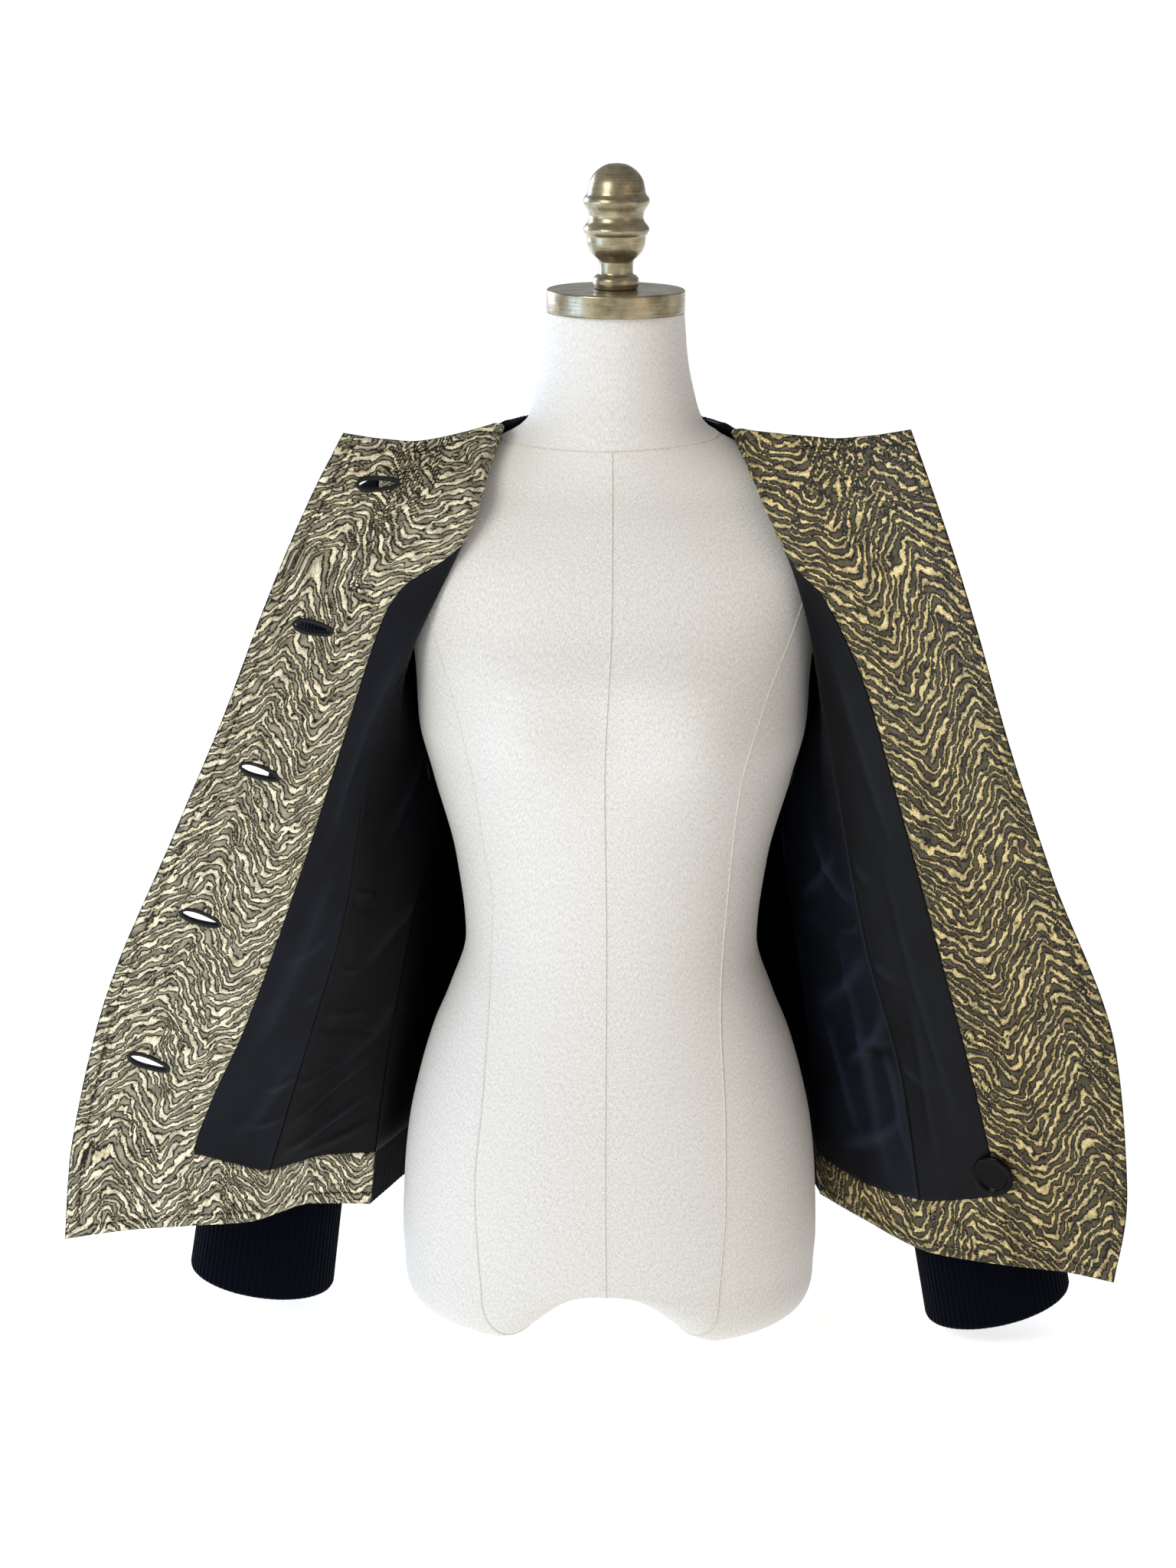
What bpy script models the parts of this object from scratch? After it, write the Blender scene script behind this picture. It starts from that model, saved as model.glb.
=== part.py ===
"""An open, collarless jacket that hangs from a limbless dress form.

Metres, +Z up. The front faces -Y and +X is the viewer's right. Everything is drawn round the
middle of the form and then moved, so that the origin is on the floor under the middle of the
whole part. Both fronts are swung wide open, so that their insides show.

Each front is one surface, through sections from hem to neckline. A section runs from the
side seam (the armhole, higher up) over the side panel to the princess seam (the roll line,
where the front folds back over the shoulder), the inner edge of the facing and the front
edge. The surface is the inner face of the shell: positive offsets go to the inside.
"""
import math

import bmesh
import bpy
import numpy as np
from mathutils import Matrix, Vector

MM = 0.001
GAP = 0.3 * MM
TO_MIDDLE = (10.5 * MM, 1.8 * MM, 0.0)

# Cloth and trim thicknesses
SHELL = 1.4 * MM
FACING = 1.4 * MM
LINING = 1.0 * MM
RIB_VALLEY = 1.4 * MM
RIB_RISE = 0.8 * MM

# Dress form: horizontal sections, in millimetres
# (height, half width, depth in front, depth behind, squareness of the section)
FORM_SECTIONS = (
    (56, 163.5, 94, 115, 2.3),
    (80, 165, 99, 119, 2.3),
    (132, 163, 104, 122, 2.3),
    (170, 159, 103, 118, 2.3),
    (208, 151, 99, 108, 2.3),
    (246, 140, 94, 96, 2.2),
    (278, 127, 90, 87, 2.2),
    (322, 114, 87, 81, 2.2),
    (386, 121, 94, 85, 2.2),
    (455, 139, 114, 96, 2.2),
    (498, 149, 125, 100, 2.3),
    (536, 151, 124, 103, 2.3),
    (580, 157, 107, 105, 2.4),
    (625, 167, 91, 103, 2.4),
    (655, 168, 78, 92, 2.0),
    (680, 153, 65, 76, 1.7),
    (700, 114, 59, 64, 1.65),
    (712, 84, 57, 60, 1.8),
    (724, 67, 55, 57, 2.0),
    (745, 60, 51, 53, 2.0),
    (770, 55, 49, 49, 2.0),
    (804, 52, 47, 47, 2.0),
)
FORM_SIDES = 32
FORM_LEVELS_BELOW, FORM_LEVELS_ABOVE = 15, 13
FORM_LEVELS_SPLIT = 14
# The saddle between the thighs is at full height up to the first distance from the middle, and the
# thighs are at full depth from the second one outwards
SADDLE_INNER, SADDLE_OUTER = 4 * MM, 88 * MM
LOBE_DEPTH = 64 * MM
LOBE_FLOOR = 0.0
LOBE_ROUND_FRONT, LOBE_ROUND_SIDE = 2.2, 3.0
LOBE_RINGS = (0.985, 0.94, 0.86, 0.74, 0.6, 0.46, 0.3, 0.14)

# Turned metal top of the form
CAP_RADIUS = 51.5 * MM
CAP_THICKNESS = 17 * MM
CAP_EDGE = 2.5 * MM
# Finial outline, top to bottom, in millimetres: (radius, height above the cap)
FINIAL_OUTLINE = (
    (0, 92), (11, 90), (20, 81), (21.5, 73), (24.5, 68), (24.5, 64), (19.5, 56),
    (24, 48), (24, 43), (17, 30), (12.5, 23), (12.5, 17), (17, 11), (17, 0), (0, 0),
)

# Side seams from hem to waist, in millimetres (x, y, height); they end under the armholes
SIDE_SEAMS = {
    "right": ((-189, -20, 100), (-185, -20, 144), (-174, -10, 230), (-158, 0, 321), (-141, 28, 408)),
    "left": ((169, 42, 92), (165, 38, 130), (156, 28, 235), (144, 24, 320), (133, 32, 406)),
}

# Armhole: an oval in a plane that leans out towards the shoulder
ARMHOLE_X = 167 * MM
ARMHOLE_Y = 10 * MM
ARMHOLE_Z = 593 * MM
ARMHOLE_HALF_HEIGHT = 87 * MM
ARMHOLE_HALF_DEPTH = 50 * MM
ARMHOLE_LEAN = math.tan(math.radians(7))
# Places on the oval at the sections from the underarm up, in degrees from its top
ARMHOLE_SECTIONS = (5, 5.5, 6, 7, 8)
ARMHOLE_IN_FRONT = (180, 126, 95, 57, 11.54)
ARMHOLE_BEHIND = (180, 126, 98, 60, -11.54)

# Sections of the two fronts, from hem to neckline, in millimetres (x, y, height)
# under: middle of the side panel, then the chest under the fold
# seam: princess seam, then the roll line
# facing: inner edge of the facing;  edge: front edge
# dip: how far the middle of the facing hangs below its two ends
FRONT_COLUMNS = ("under", "seam", "facing", "edge", "dip")
FRONT_SECTIONS = {
    "right": (
        ((-240, -31, 103), (-275, -68, 103), (-319, -85, 105), (-414, -115, 104), 0),
        ((-228, -36, 146), (-262, -68, 146), (-317, -88, 165), (-408, -117, 167), 0),
        ((-206, -38, 240), (-231, -70, 249), (-277, -95, 265), (-376, -126, 298), 0),
        ((-182, -34, 338), (-200, -68, 358), (-232, -100, 388), (-317, -140, 435), 0),
        ((-166, -14, 430), (-184, -58, 462), (-199, -97, 490), (-276, -145, 530), 0),
        ((-161, -30, 500), (-162, -63, 530), (-182, -93, 545), (-253, -144, 590), 0),
        ((-150, -62, 592), (-130, -74, 600), (-161, -90, 600), (-233, -140, 640), -1),
        ((-138, -60, 652), (-102, -76, 660), (-111, -85, 660), (-212, -127, 688), -3),
        ((-128, 0, 696), (-84, 0, 715), (-89, -34, 725), (-191, -115, 729), -10),
    ),
    "left": (
        ((205, -14, 92), (251, -68, 89), (316, -100, 92), (386, -127, 92), 0),
        ((200, -22, 128), (243, -62, 130), (301, -97, 148), (393, -128, 155), 0),
        ((192, -24, 236), (226, -60, 231), (277, -100, 242), (378, -134, 281), 0),
        ((172, -22, 327), (197, -62, 332), (243, -102, 362), (327, -140, 411), 0),
        ((158, -8, 425), (173, -55, 450), (210, -99, 475), (290, -146, 515), 0),
        ((160, -30, 500), (158, -62, 530), (188, -93, 545), (267, -143, 590), 0),
        ((154, -62, 590), (143, -75, 600), (162, -91, 600), (250, -137, 642), -1),
        ((143, -60, 650), (120, -74, 660), (127, -84, 655), (232, -127, 692), -3),
        ((130, 0, 695), (88, 0, 714), (97, -34, 723), (215, -114, 736), -7),
    ),
}
# Where the sections' named points lie across, as shares of the front's width
FRONT_SHARES = {"side": 0.0, "under": 0.2, "seam": 0.4, "facing": 0.55, "middle": 0.78, "edge": 1.0}
MIDDLE_BOW = 5 * MM
# Columns of the wall: shares of the width at which its points lie
COLUMNS = (0.0, 0.1, 0.2, 0.3, 0.4, 0.475, 0.55, 0.66, 0.78, 0.89, 1.0)
COLUMN_SIDE, COLUMN_SEAM, COLUMN_FACING, COLUMN_EDGE = 0, 4, 6, 10
# Rows of the wall, counted in sections from the hem
ROWS = (0.0, 1.0, 1.5, 2.0, 3.0, 4.0, 5.0, 5.5, 6.0, 6.5, 7.2, 7.62, 8.0)
ROW_HEM_FACING, ROW_UNDERARM, ROW_ROLL_TOP = 1, 6, 9
# Over the shoulders the cloth is lifted clear of the form
LIFT = 6.9 * MM
LIFT_FROM_ROW = 6.2

# Back: half sections at the same rows, in millimetres (x, y, height)
# blade: under the shoulder blade;  inner, near: towards the spine, at the top the neck's edge
# centre: the middle of the back
BACK_COLUMNS = ("blade", "inner", "near", "centre")
BACK_SECTIONS = (
    ((158, 78, 96), (100, 120, 95), (52, 136, 94), (0, 142, 94)),
    ((156, 75, 138), (98, 117, 137), (51, 133, 136), (0, 138, 136)),
    ((142, 64, 236), (92, 100, 236), (48, 113, 236), (0, 118, 236)),
    ((129, 58, 326), (84, 85, 327), (44, 94, 327), (0, 98, 327)),
    ((123, 66, 412), (84, 92, 414), (44, 100, 415), (0, 103, 415)),
    ((148, 66, 498), (96, 104, 506), (50, 113, 510), (0, 114, 510)),
    ((155, 82, 592), (100, 106, 596), (52, 114, 598), (0, 115, 598)),
    ((152, 66, 656), (98, 88, 670), (54, 95, 677), (0, 96, 680)),
    ((128, 0, 696), (86, 0, 714), (64, 40, 721), (0, 65, 726)),
)
BACK_SHARES = {"side": 0.0, "blade": 0.14, "inner": 0.32, "near": 0.415, "centre": 0.5}
BACK_CELLS = 20
RIB_POINTS = 6
BACK_LINING_ROW = 1

# Sleeves: sections from the armhole to the wrist, in millimetres
# (middle x, y, height; half width, half depth; turn from upright and dip in front, in degrees)
SLEEVE_SECTIONS = {
    "right": (
        (-193, 9, 565, 82, 54, 24, 0),
        (-206, 8, 505, 56, 51, 43, 0),
        (-220, 8, 438, 46, 46, 67, 0),
        (-237, 9, 342, 47, 42, 80, 0),
        (-256, 10, 206, 52, 37, 84, 3),
        (-280, 6, 29, 56, 36, 82, 11),
    ),
    "left": (
        (193, 9, 565, 82, 54, 24, 0),
        (207, 8, 505, 56, 51, 43, 0),
        (223, 4, 438, 46, 46, 67, 0),
        (247, -2, 342, 47, 42, 79, 0),
        (274, -8, 206, 53, 38, 78, 4),
        (309, -14, 29, 56, 38, 76, 11),
    ),
}
SLEEVE_ROWS = (0.0, 0.5, 1.0, 2.0, 3.0, 4.0, 5.0)
SLEEVE_CELLS = 24
SLEEVE_RIB_POINTS = 4

# Buttons and buttonholes, top to bottom: (height in millimetres, slope in degrees)
FASTENINGS = ((690, -2), (587, -18), (479, -25), (365, -25), (245, -26))
BUTTON_FROM_EDGE = 37 * MM
BUTTONHOLE_FROM_EDGE = 43 * MM
# Button outline, top to bottom, in millimetres: (radius, height)
BUTTON_OUTLINE = ((0, 2.6), (10, 2.6), (12.5, 4.6), (15, 4.6), (16.5, 2.6), (15, 0.6), (10, 0), (0, 0))
BUTTON_SIDES = 16
SPARE_BUTTON_PLACE = (1.22, 0.55)
SLIT_LENGTH = 36 * MM
SLIT_WIDTH = 9 * MM
BINDING_WIDTH = 2.0 * MM
BINDING_LIP = 0.6 * MM
SLIT_SIDES = 8
SLIT_REACH = 6 * MM

COLOURS = {
    "linen": ((0.78, 0.75, 0.68), 0.9, 0.0),
    "old_brass": ((0.42, 0.30, 0.15), 0.4, 1.0),
    "jacquard": ((0.52, 0.46, 0.25), 0.6, 0.0),
    "satin": ((0.012, 0.013, 0.02), 0.35, 0.0),
    "rib_knit": ((0.010, 0.012, 0.016), 0.85, 0.0),
    "black_horn": ((0.012, 0.012, 0.013), 0.3, 0.0),
    "binding": ((0.010, 0.010, 0.012), 0.7, 0.0),
}


def clear_scene():
    """Empty the scene of its objects."""
    for item in list(bpy.data.objects):
        bpy.data.objects.remove(item, do_unlink=True)


def new_collection(name):
    """A collection under the scene."""
    group = bpy.data.collections.new(name)
    bpy.context.scene.collection.children.link(group)
    return group


def new_material(name):
    """A plain Principled material of the named colour."""
    colour, roughness, metallic = COLOURS[name]
    material = bpy.data.materials.new(name)
    material.use_nodes = True
    shader = material.node_tree.nodes["Principled BSDF"]
    shader.inputs["Base Color"].default_value = (*colour, 1.0)
    shader.inputs["Roughness"].default_value = roughness
    shader.inputs["Metallic"].default_value = metallic
    material.diffuse_color = (*colour, 1.0)
    return material


def add_mesh_object(name, points, faces, material, group):
    """A named object of a closed solid, its faces turned to point out."""
    mesh = bpy.data.meshes.new(name)
    mesh.from_pydata([tuple(map(float, point)) for point in points], [], faces)
    work = bmesh.new()
    work.from_mesh(mesh)
    bmesh.ops.recalc_face_normals(work, faces=work.faces)
    work.to_mesh(mesh)
    work.free()
    mesh.materials.append(material)
    mesh.shade_smooth()
    mesh.set_sharp_from_angle(angle=math.radians(40))
    item = bpy.data.objects.new(name, mesh)
    group.objects.link(item)
    return item


def add_turned_object(name, outline, sides, material, group):
    """A solid turned round the Z axis from (radius, height) points in millimetres."""
    mesh = bpy.data.meshes.new(name)
    points = [(radius * MM, 0.0, height * MM) for radius, height in outline]
    mesh.from_pydata(points, [(i, i + 1) for i in range(len(points) - 1)], [])
    mesh.materials.append(material)
    item = bpy.data.objects.new(name, mesh)
    group.objects.link(item)
    screw = item.modifiers.new("turn", "SCREW")
    screw.steps = sides
    screw.render_steps = sides
    screw.use_merge_vertices = True
    screw.merge_threshold = 0.00001
    return item


def smooth_between(knots, values, at):
    """Cubic curves through the values that never swing past them, read at the given knots."""
    knots = np.asarray(knots, float)
    values = np.asarray(values, float)
    at = np.asarray(at, float)
    shape = (-1,) + (1,) * (values.ndim - 1)
    span = np.diff(knots).reshape(shape)
    slope = np.diff(values, axis=0) / span
    tangent = np.zeros_like(values)
    before, after = slope[:-1], slope[1:]
    weight_a = 2 * span[1:] + span[:-1]
    weight_b = span[1:] + 2 * span[:-1]
    same = before * after > 0
    safe_before = np.where(same, before, 1.0)
    safe_after = np.where(same, after, 1.0)
    mean = (weight_a + weight_b) / (weight_a / safe_before + weight_b / safe_after)
    tangent[1:-1] = np.where(same, mean, 0.0)
    tangent[0], tangent[-1] = slope[0], slope[-1]
    index = np.clip(np.searchsorted(knots, at, side="right") - 1, 0, len(knots) - 2)
    t = ((at - knots[index]) / np.diff(knots)[index]).reshape(shape)
    width = span[index]
    return ((2 * t**3 - 3 * t**2 + 1) * values[index]
            + (t**3 - 2 * t**2 + t) * width * tangent[index]
            + (3 * t**2 - 2 * t**3) * values[index + 1]
            + (t**3 - t**2) * width * tangent[index + 1])


def unit(vectors):
    """Vectors scaled to length one."""
    return vectors / np.linalg.norm(vectors, axis=-1, keepdims=True)


def grid_normals(points):
    """Unit normals of a grid of points, each the mean of the cells that meet there."""
    a, b, c, d = points[:-1, :-1], points[:-1, 1:], points[1:, 1:], points[1:, :-1]
    cells = unit(unit(np.cross(b - a, c - a)) + unit(np.cross(c - a, d - a)))
    normals = np.zeros_like(points)
    for rows in (slice(None, -1), slice(1, None)):
        for columns in (slice(None, -1), slice(1, None)):
            normals[rows, columns] += cells
    return unit(normals)


def form_section(height, sides=FORM_SIDES):
    """A closed ring of the dress form at a height in metres."""
    table = np.array(FORM_SECTIONS, float)
    half, front, back, square = smooth_between(table[:, 0] * MM, table[:, 1:], [height])[0]
    angle = 2 * math.pi * np.arange(sides) / sides
    depth = np.where(np.sin(angle) < 0, front, back)
    x = np.sign(np.cos(angle)) * np.abs(np.cos(angle)) ** (2 / square) * half * MM
    y = np.sign(np.sin(angle)) * np.abs(np.sin(angle)) ** (2 / square) * depth * MM
    return np.stack([x, y, np.full(sides, height)], axis=-1)


def lobe_height(x, y, share, rim_height):
    """Underside of the form: two rounded thighs with a saddle between, and flat where they stand.

    share is how far out from the middle a place is, with 1 at the rim. The depth there is the full
    depth times (1 - share ^ n) ^ (1 / n), and n is larger at the sides, where the thighs are squarer.
    """
    t = np.clip((np.abs(x) - SADDLE_INNER) / (SADDLE_OUTER - SADDLE_INNER), 0.0, 1.0)
    sideways = x**2 / np.maximum(x**2 + y**2, 1e-12)
    n = LOBE_ROUND_FRONT + (LOBE_ROUND_SIDE - LOBE_ROUND_FRONT) * sideways
    depth = LOBE_DEPTH * t * t * (3 - 2 * t) * (1 - share**n) ** (1 / n)
    return np.maximum(rim_height - depth, LOBE_FLOOR)


def build_form(materials, group):
    """The limbless dress form: neck, torso and the rounded tops of the thighs."""
    low, high = FORM_SECTIONS[0][0] * MM, FORM_SECTIONS[-1][0] * MM
    steps = np.concatenate([np.linspace(0, FORM_LEVELS_SPLIT, FORM_LEVELS_BELOW)[:-1],
                            np.linspace(FORM_LEVELS_SPLIT, len(FORM_SECTIONS) - 1, FORM_LEVELS_ABOVE)])
    heights = np.interp(steps, range(len(FORM_SECTIONS)), [row[0] * MM for row in FORM_SECTIONS])
    rings = [form_section(height) for height in heights]
    rim = form_section(low)
    for share in LOBE_RINGS:
        ring = rim * (share, share, 1.0)
        ring[:, 2] = lobe_height(ring[:, 0], ring[:, 1], share, low)
        rings.insert(0, ring)
    points = [point for ring in rings for point in ring]
    faces = []
    for level in range(len(rings) - 1):
        for side in range(FORM_SIDES):
            after = (side + 1) % FORM_SIDES
            a, b = level * FORM_SIDES + side, level * FORM_SIDES + after
            faces.append((a, b, b + FORM_SIDES))
            faces.append((a, b + FORM_SIDES, a + FORM_SIDES))
    bottom, top = len(points), len(points) + 1
    points.append((0.0, 0.0, low))
    points.append((0.0, 0.0, high))
    last = (len(rings) - 1) * FORM_SIDES
    for side in range(FORM_SIDES):
        after = (side + 1) % FORM_SIDES
        faces.append((bottom, after, side))
        faces.append((top, last + side, last + after))
    add_mesh_object("dress_form", points, faces, materials["linen"], group)


def build_metal_top(materials, group):
    """The thick metal disc on the neck and the turned finial on it."""
    base = FORM_SECTIONS[-1][0] * MM + GAP
    bpy.ops.mesh.primitive_cylinder_add(
        vertices=40, radius=CAP_RADIUS, depth=CAP_THICKNESS, location=(0, 0, base + CAP_THICKNESS / 2))
    cap = bpy.context.object
    cap.name = "neck_cap"
    cap.data.name = "neck_cap"
    for owner in list(cap.users_collection):
        owner.objects.unlink(cap)
    group.objects.link(cap)
    cap.data.materials.append(materials["old_brass"])
    bevel = cap.modifiers.new("round edge", "BEVEL")
    bevel.width = CAP_EDGE
    bevel.segments = 2
    bevel.limit_method = "ANGLE"
    finial = add_turned_object("finial", FINIAL_OUTLINE, 20, materials["old_brass"], group)
    finial.location = (0, 0, base + CAP_THICKNESS + GAP)


def form_height(x, y):
    """Height of the form's shoulders over points of the plan."""
    levels = np.linspace(0.56, 0.76, 81)
    table = np.array(FORM_SECTIONS, float)
    half, front, back, square = smooth_between(table[:, 0] * MM, table[:, 1:], levels).T[:, :, None]
    depth = np.where(y < 0, front, back) * MM
    reach = (np.abs(x) / (half * MM)) ** square + (np.abs(y) / depth) ** square
    count = (reach <= 1.0).sum(axis=0)
    last = np.clip(count - 1, 0, len(levels) - 2)
    column = np.arange(len(x))
    step = (1.0 - reach[last, column]) / np.maximum(reach[last + 1, column] - reach[last, column], 1e-6)
    return np.where(count > 0, levels[last] + np.clip(step, 0, 1) * (levels[1] - levels[0]), 0.0)


def lifted(points, rows):
    """Points above the armholes' middle, lifted clear of the form where they would sink into it."""
    high = np.asarray(rows) > LIFT_FROM_ROW
    upper = points[high]
    floor = form_height(upper[..., 0].ravel(), upper[..., 1].ravel()).reshape(upper.shape[:-1])
    upper[..., 2] = np.maximum(upper[..., 2], floor + LIFT)
    points[high] = upper
    return points


def side_line(side, rows, behind):
    """The side seam and, above it, the front or the back edge of the armhole."""
    mirror = -1 if side == "right" else 1
    rows = np.asarray(rows, float)
    places = ARMHOLE_BEHIND if behind else ARMHOLE_IN_FRONT
    angle = np.radians(smooth_between(ARMHOLE_SECTIONS, places, np.maximum(rows, ARMHOLE_SECTIONS[0])))
    rise = ARMHOLE_HALF_HEIGHT * np.cos(angle)
    depth = ARMHOLE_HALF_DEPTH * np.sin(angle) * (1 if behind else -1)
    hole = np.stack([mirror * (ARMHOLE_X + rise * ARMHOLE_LEAN), ARMHOLE_Y + depth, ARMHOLE_Z + rise], axis=-1)
    underarm = (mirror * (ARMHOLE_X - ARMHOLE_HALF_HEIGHT * ARMHOLE_LEAN), ARMHOLE_Y,
                ARMHOLE_Z - ARMHOLE_HALF_HEIGHT)
    knots = np.vstack([np.array(SIDE_SEAMS[side]) * MM, underarm])
    seam = smooth_between(range(len(knots)), knots, np.minimum(rows, len(knots) - 1))
    return np.where((rows <= ARMHOLE_SECTIONS[0])[:, None], seam, hole)


def front_surface(side, rows, columns):
    """Points of a front's surface at rows (in sections) and columns (shares of its width)."""
    sections = []
    for section in FRONT_SECTIONS[side]:
        named = dict(zip(FRONT_COLUMNS, section))
        facing, edge = np.array(named["facing"]) * MM, np.array(named["edge"]) * MM
        middle = (facing + edge) / 2 + (0.0, MIDDLE_BOW, named["dip"] * MM)
        sections.append([np.array(named["under"]) * MM, np.array(named["seam"]) * MM, facing, middle, edge])
    lines = smooth_between(range(len(sections)), np.array(sections), rows)
    lines = np.concatenate([side_line(side, rows, False)[:, None], lines], axis=1)
    points = smooth_between(list(FRONT_SHARES.values()), np.swapaxes(lines, 0, 1), columns)
    return lifted(np.swapaxes(points, 0, 1).copy(), rows)


def back_surface(rows, columns):
    """Points of the back's surface, from the wearer's right side seam to the left one."""
    sections = []
    for *half, centre in BACK_SECTIONS:
        half = np.array(half) * MM
        sections.append([*half * (-1, 1, 1), np.array(centre) * MM, *half[::-1]])
    lines = smooth_between(range(len(sections)), np.array(sections), rows)
    ends = [side_line(side, rows, True)[:, None] for side in ("right", "left")]
    lines = np.concatenate([ends[0], lines, ends[1]], axis=1)
    shares = list(BACK_SHARES.values())
    shares += [1 - share for share in reversed(shares[:-1])]
    points = smooth_between(shares, np.swapaxes(lines, 0, 1), columns)
    return lifted(np.swapaxes(points, 0, 1).copy(), rows)


def inward_normals(points):
    """Grid normals that point to the inside of the jacket, which is the form's side."""
    normals = grid_normals(points)
    middle = len(points) // 3
    inside = np.array([0.0, 0.0, points[middle, 0, 2]])
    towards = np.einsum("j,j", normals[middle, 0], inside - points[middle, 0])
    return normals if towards > 0 else -normals


def mitre(first, second):
    """Offset directions shared by two walls that meet at a corner."""
    return (first + second) / (1.0 + np.einsum("ij,ij->i", first, second))[:, None]


def upright_mitre(normals):
    """Offset directions that end a wall in an upright plane across the shoulder."""
    flat = normals * (1, 0, 1)
    return flat / (flat**2).sum(axis=-1, keepdims=True)


def draw_in(points, cells, amount):
    """Move a wall's outline inwards, along the grid, by half of a seam's gap."""
    rows, columns = points.shape[:2]
    padded = np.zeros((rows + 1, columns + 1), bool)
    padded[1:rows, 1:columns] = cells
    moved = points.copy()
    for row in range(rows):
        for column in range(columns):
            around = padded[row:row + 2, column:column + 2]
            if not around.any() or around.all():
                continue
            step_up = int(around[1].any()) - int(around[0].any())
            step_across = int(around[:, 1].any()) - int(around[:, 0].any())
            for target in ((row + step_up, column), (row, column + step_across)):
                if target != (row, column):
                    way = points[target] - points[row, column]
                    moved[row, column] += way / np.linalg.norm(way) * amount
    return moved


def inner_diagonals(points, normals):
    """For each cell, whether its second diagonal runs on the inside, where the first doesn't."""
    first = points[:-1, :-1] + points[1:, 1:]
    second = points[:-1, 1:] + points[1:, :-1]
    middle = normals[:-1, :-1] + normals[1:, 1:] + normals[:-1, 1:] + normals[1:, :-1]
    return np.einsum("ijk,ijk->ij", second - first, middle) > 0


def cell_faces(a, b, c, d, second):
    """Two triangles on a cell, split on its first diagonal, a to c, or on its second."""
    return [(a, b, d), (b, c, d)] if second else [(a, b, c), (a, c, d)]


def wall_solid(points, normals, cells, low, high):
    """A closed wall on the chosen cells of a grid, between two offsets along its normals."""
    turned = inner_diagonals(points, normals)
    points = draw_in(points, cells, GAP / 2)
    rows, columns = points.shape[:2]
    used = np.zeros((rows, columns), bool)
    for step_row in (0, 1):
        for step_column in (0, 1):
            used[step_row:rows - 1 + step_row, step_column:columns - 1 + step_column] |= cells
    number = -np.ones((rows, columns), int)
    number[used] = np.arange(used.sum())
    count = int(used.sum())
    solid = np.concatenate([(points + normals * low)[used], (points + normals * high)[used]])
    faces, rims = [], {}
    for row, column in zip(*np.nonzero(cells)):
        corners = (number[row, column], number[row, column + 1],
                   number[row + 1, column + 1], number[row + 1, column])
        a, b, c, d = (int(corner) for corner in corners)
        near = cell_faces(a, b, c, d, turned[row, column])
        faces += near
        faces += [tuple(corner + count for corner in reversed(face)) for face in near]
        for edge in ((a, b), (b, c), (c, d), (d, a)):
            if edge[::-1] in rims:
                rims.pop(edge[::-1])
            else:
                rims[edge] = True
    for a, b in rims:
        if a < b:
            faces += [(a, a + count, b + count), (a, b + count, b)]
        else:
            faces += [(a, a + count, b), (a + count, b + count, b)]
    return solid, faces


def cell_mask(rows, columns, bands):
    """Cells of a grid in bands of (first row, last row, first column, last column)."""
    cells = np.zeros((rows - 1, columns - 1), bool)
    for first_row, last_row, first_column, last_column in bands:
        cells[first_row:last_row, first_column:last_column] = True
    return cells


def ribbed_strip(inner, outer, faces, ratio, closed):
    """Triangles between a coarse line of points and a finer one, ratio to 1.

    Each ridge is one triangle over its two valleys, and the valleys join the coarse line.
    """
    spans = len(inner) if closed else len(inner) - 1
    for span in range(spans):
        a, b = inner[span], inner[(span + 1) % len(inner)]
        fine = [outer[(span * ratio + step) % len(outer)] for step in range(ratio + 1)]
        for step in range(0, ratio, 2):
            faces.append(tuple(fine[step:step + 3]))
        valleys = fine[::2]
        half = len(valleys) // 2
        for step in range(len(valleys) - 1):
            faces.append((a if step < half else b, valleys[step], valleys[step + 1]))
        faces.append((a, valleys[half], b))


def ribbed_wall(coarse, fine, turned, ratio, closed):
    """A closed wall with a plain inside of coarse points and a ribbed outside of fine ones."""
    rows, inner_count, outer_count = len(coarse), coarse.shape[1], fine.shape[1]
    points = np.concatenate([coarse.reshape(-1, 3), fine.reshape(-1, 3)])
    start = rows * inner_count
    faces = []
    for first, count in ((0, inner_count), (start, outer_count)):
        for row in range(rows - 1):
            for column in range(count if closed else count - 1):
                after = (column + 1) % count
                a, b = first + row * count + column, first + row * count + after
                c, d = b + count, a + count
                if first:
                    faces += [(a, b, c), (a, c, d)]
                else:
                    faces += [face[::-1] for face in cell_faces(a, b, c, d, turned[row, column])]
    for row in (0, rows - 1):
        inner = [row * inner_count + column for column in range(inner_count)]
        outer = [start + row * outer_count + column for column in range(outer_count)]
        ribbed_strip(inner, outer, faces, ratio, closed)
    if not closed:
        for column, far in ((0, 0), (inner_count - 1, outer_count - 1)):
            for row in range(rows - 1):
                a, b = row * inner_count + column, (row + 1) * inner_count + column
                c, d = start + (row + 1) * outer_count + far, start + row * outer_count + far
                faces += [(a, b, d), (b, c, d)]
    return points, faces


def spread(points, ratio):
    """A grid with ratio - 1 more points set evenly between neighbours across."""
    count = points.shape[1]
    place = np.arange((count - 1) * ratio + 1) / ratio
    before = np.minimum(place.astype(int), count - 2)
    share = (place - before)[None, :, None]
    return points[:, before] * (1 - share) + points[:, before + 1] * share


def rib_heights(count):
    """Height of the outside over the wall's inner face: valley, ridge, valley, ridge."""
    return np.where(np.arange(count) % 2 == 0, RIB_VALLEY, RIB_VALLEY + RIB_RISE)


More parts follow.
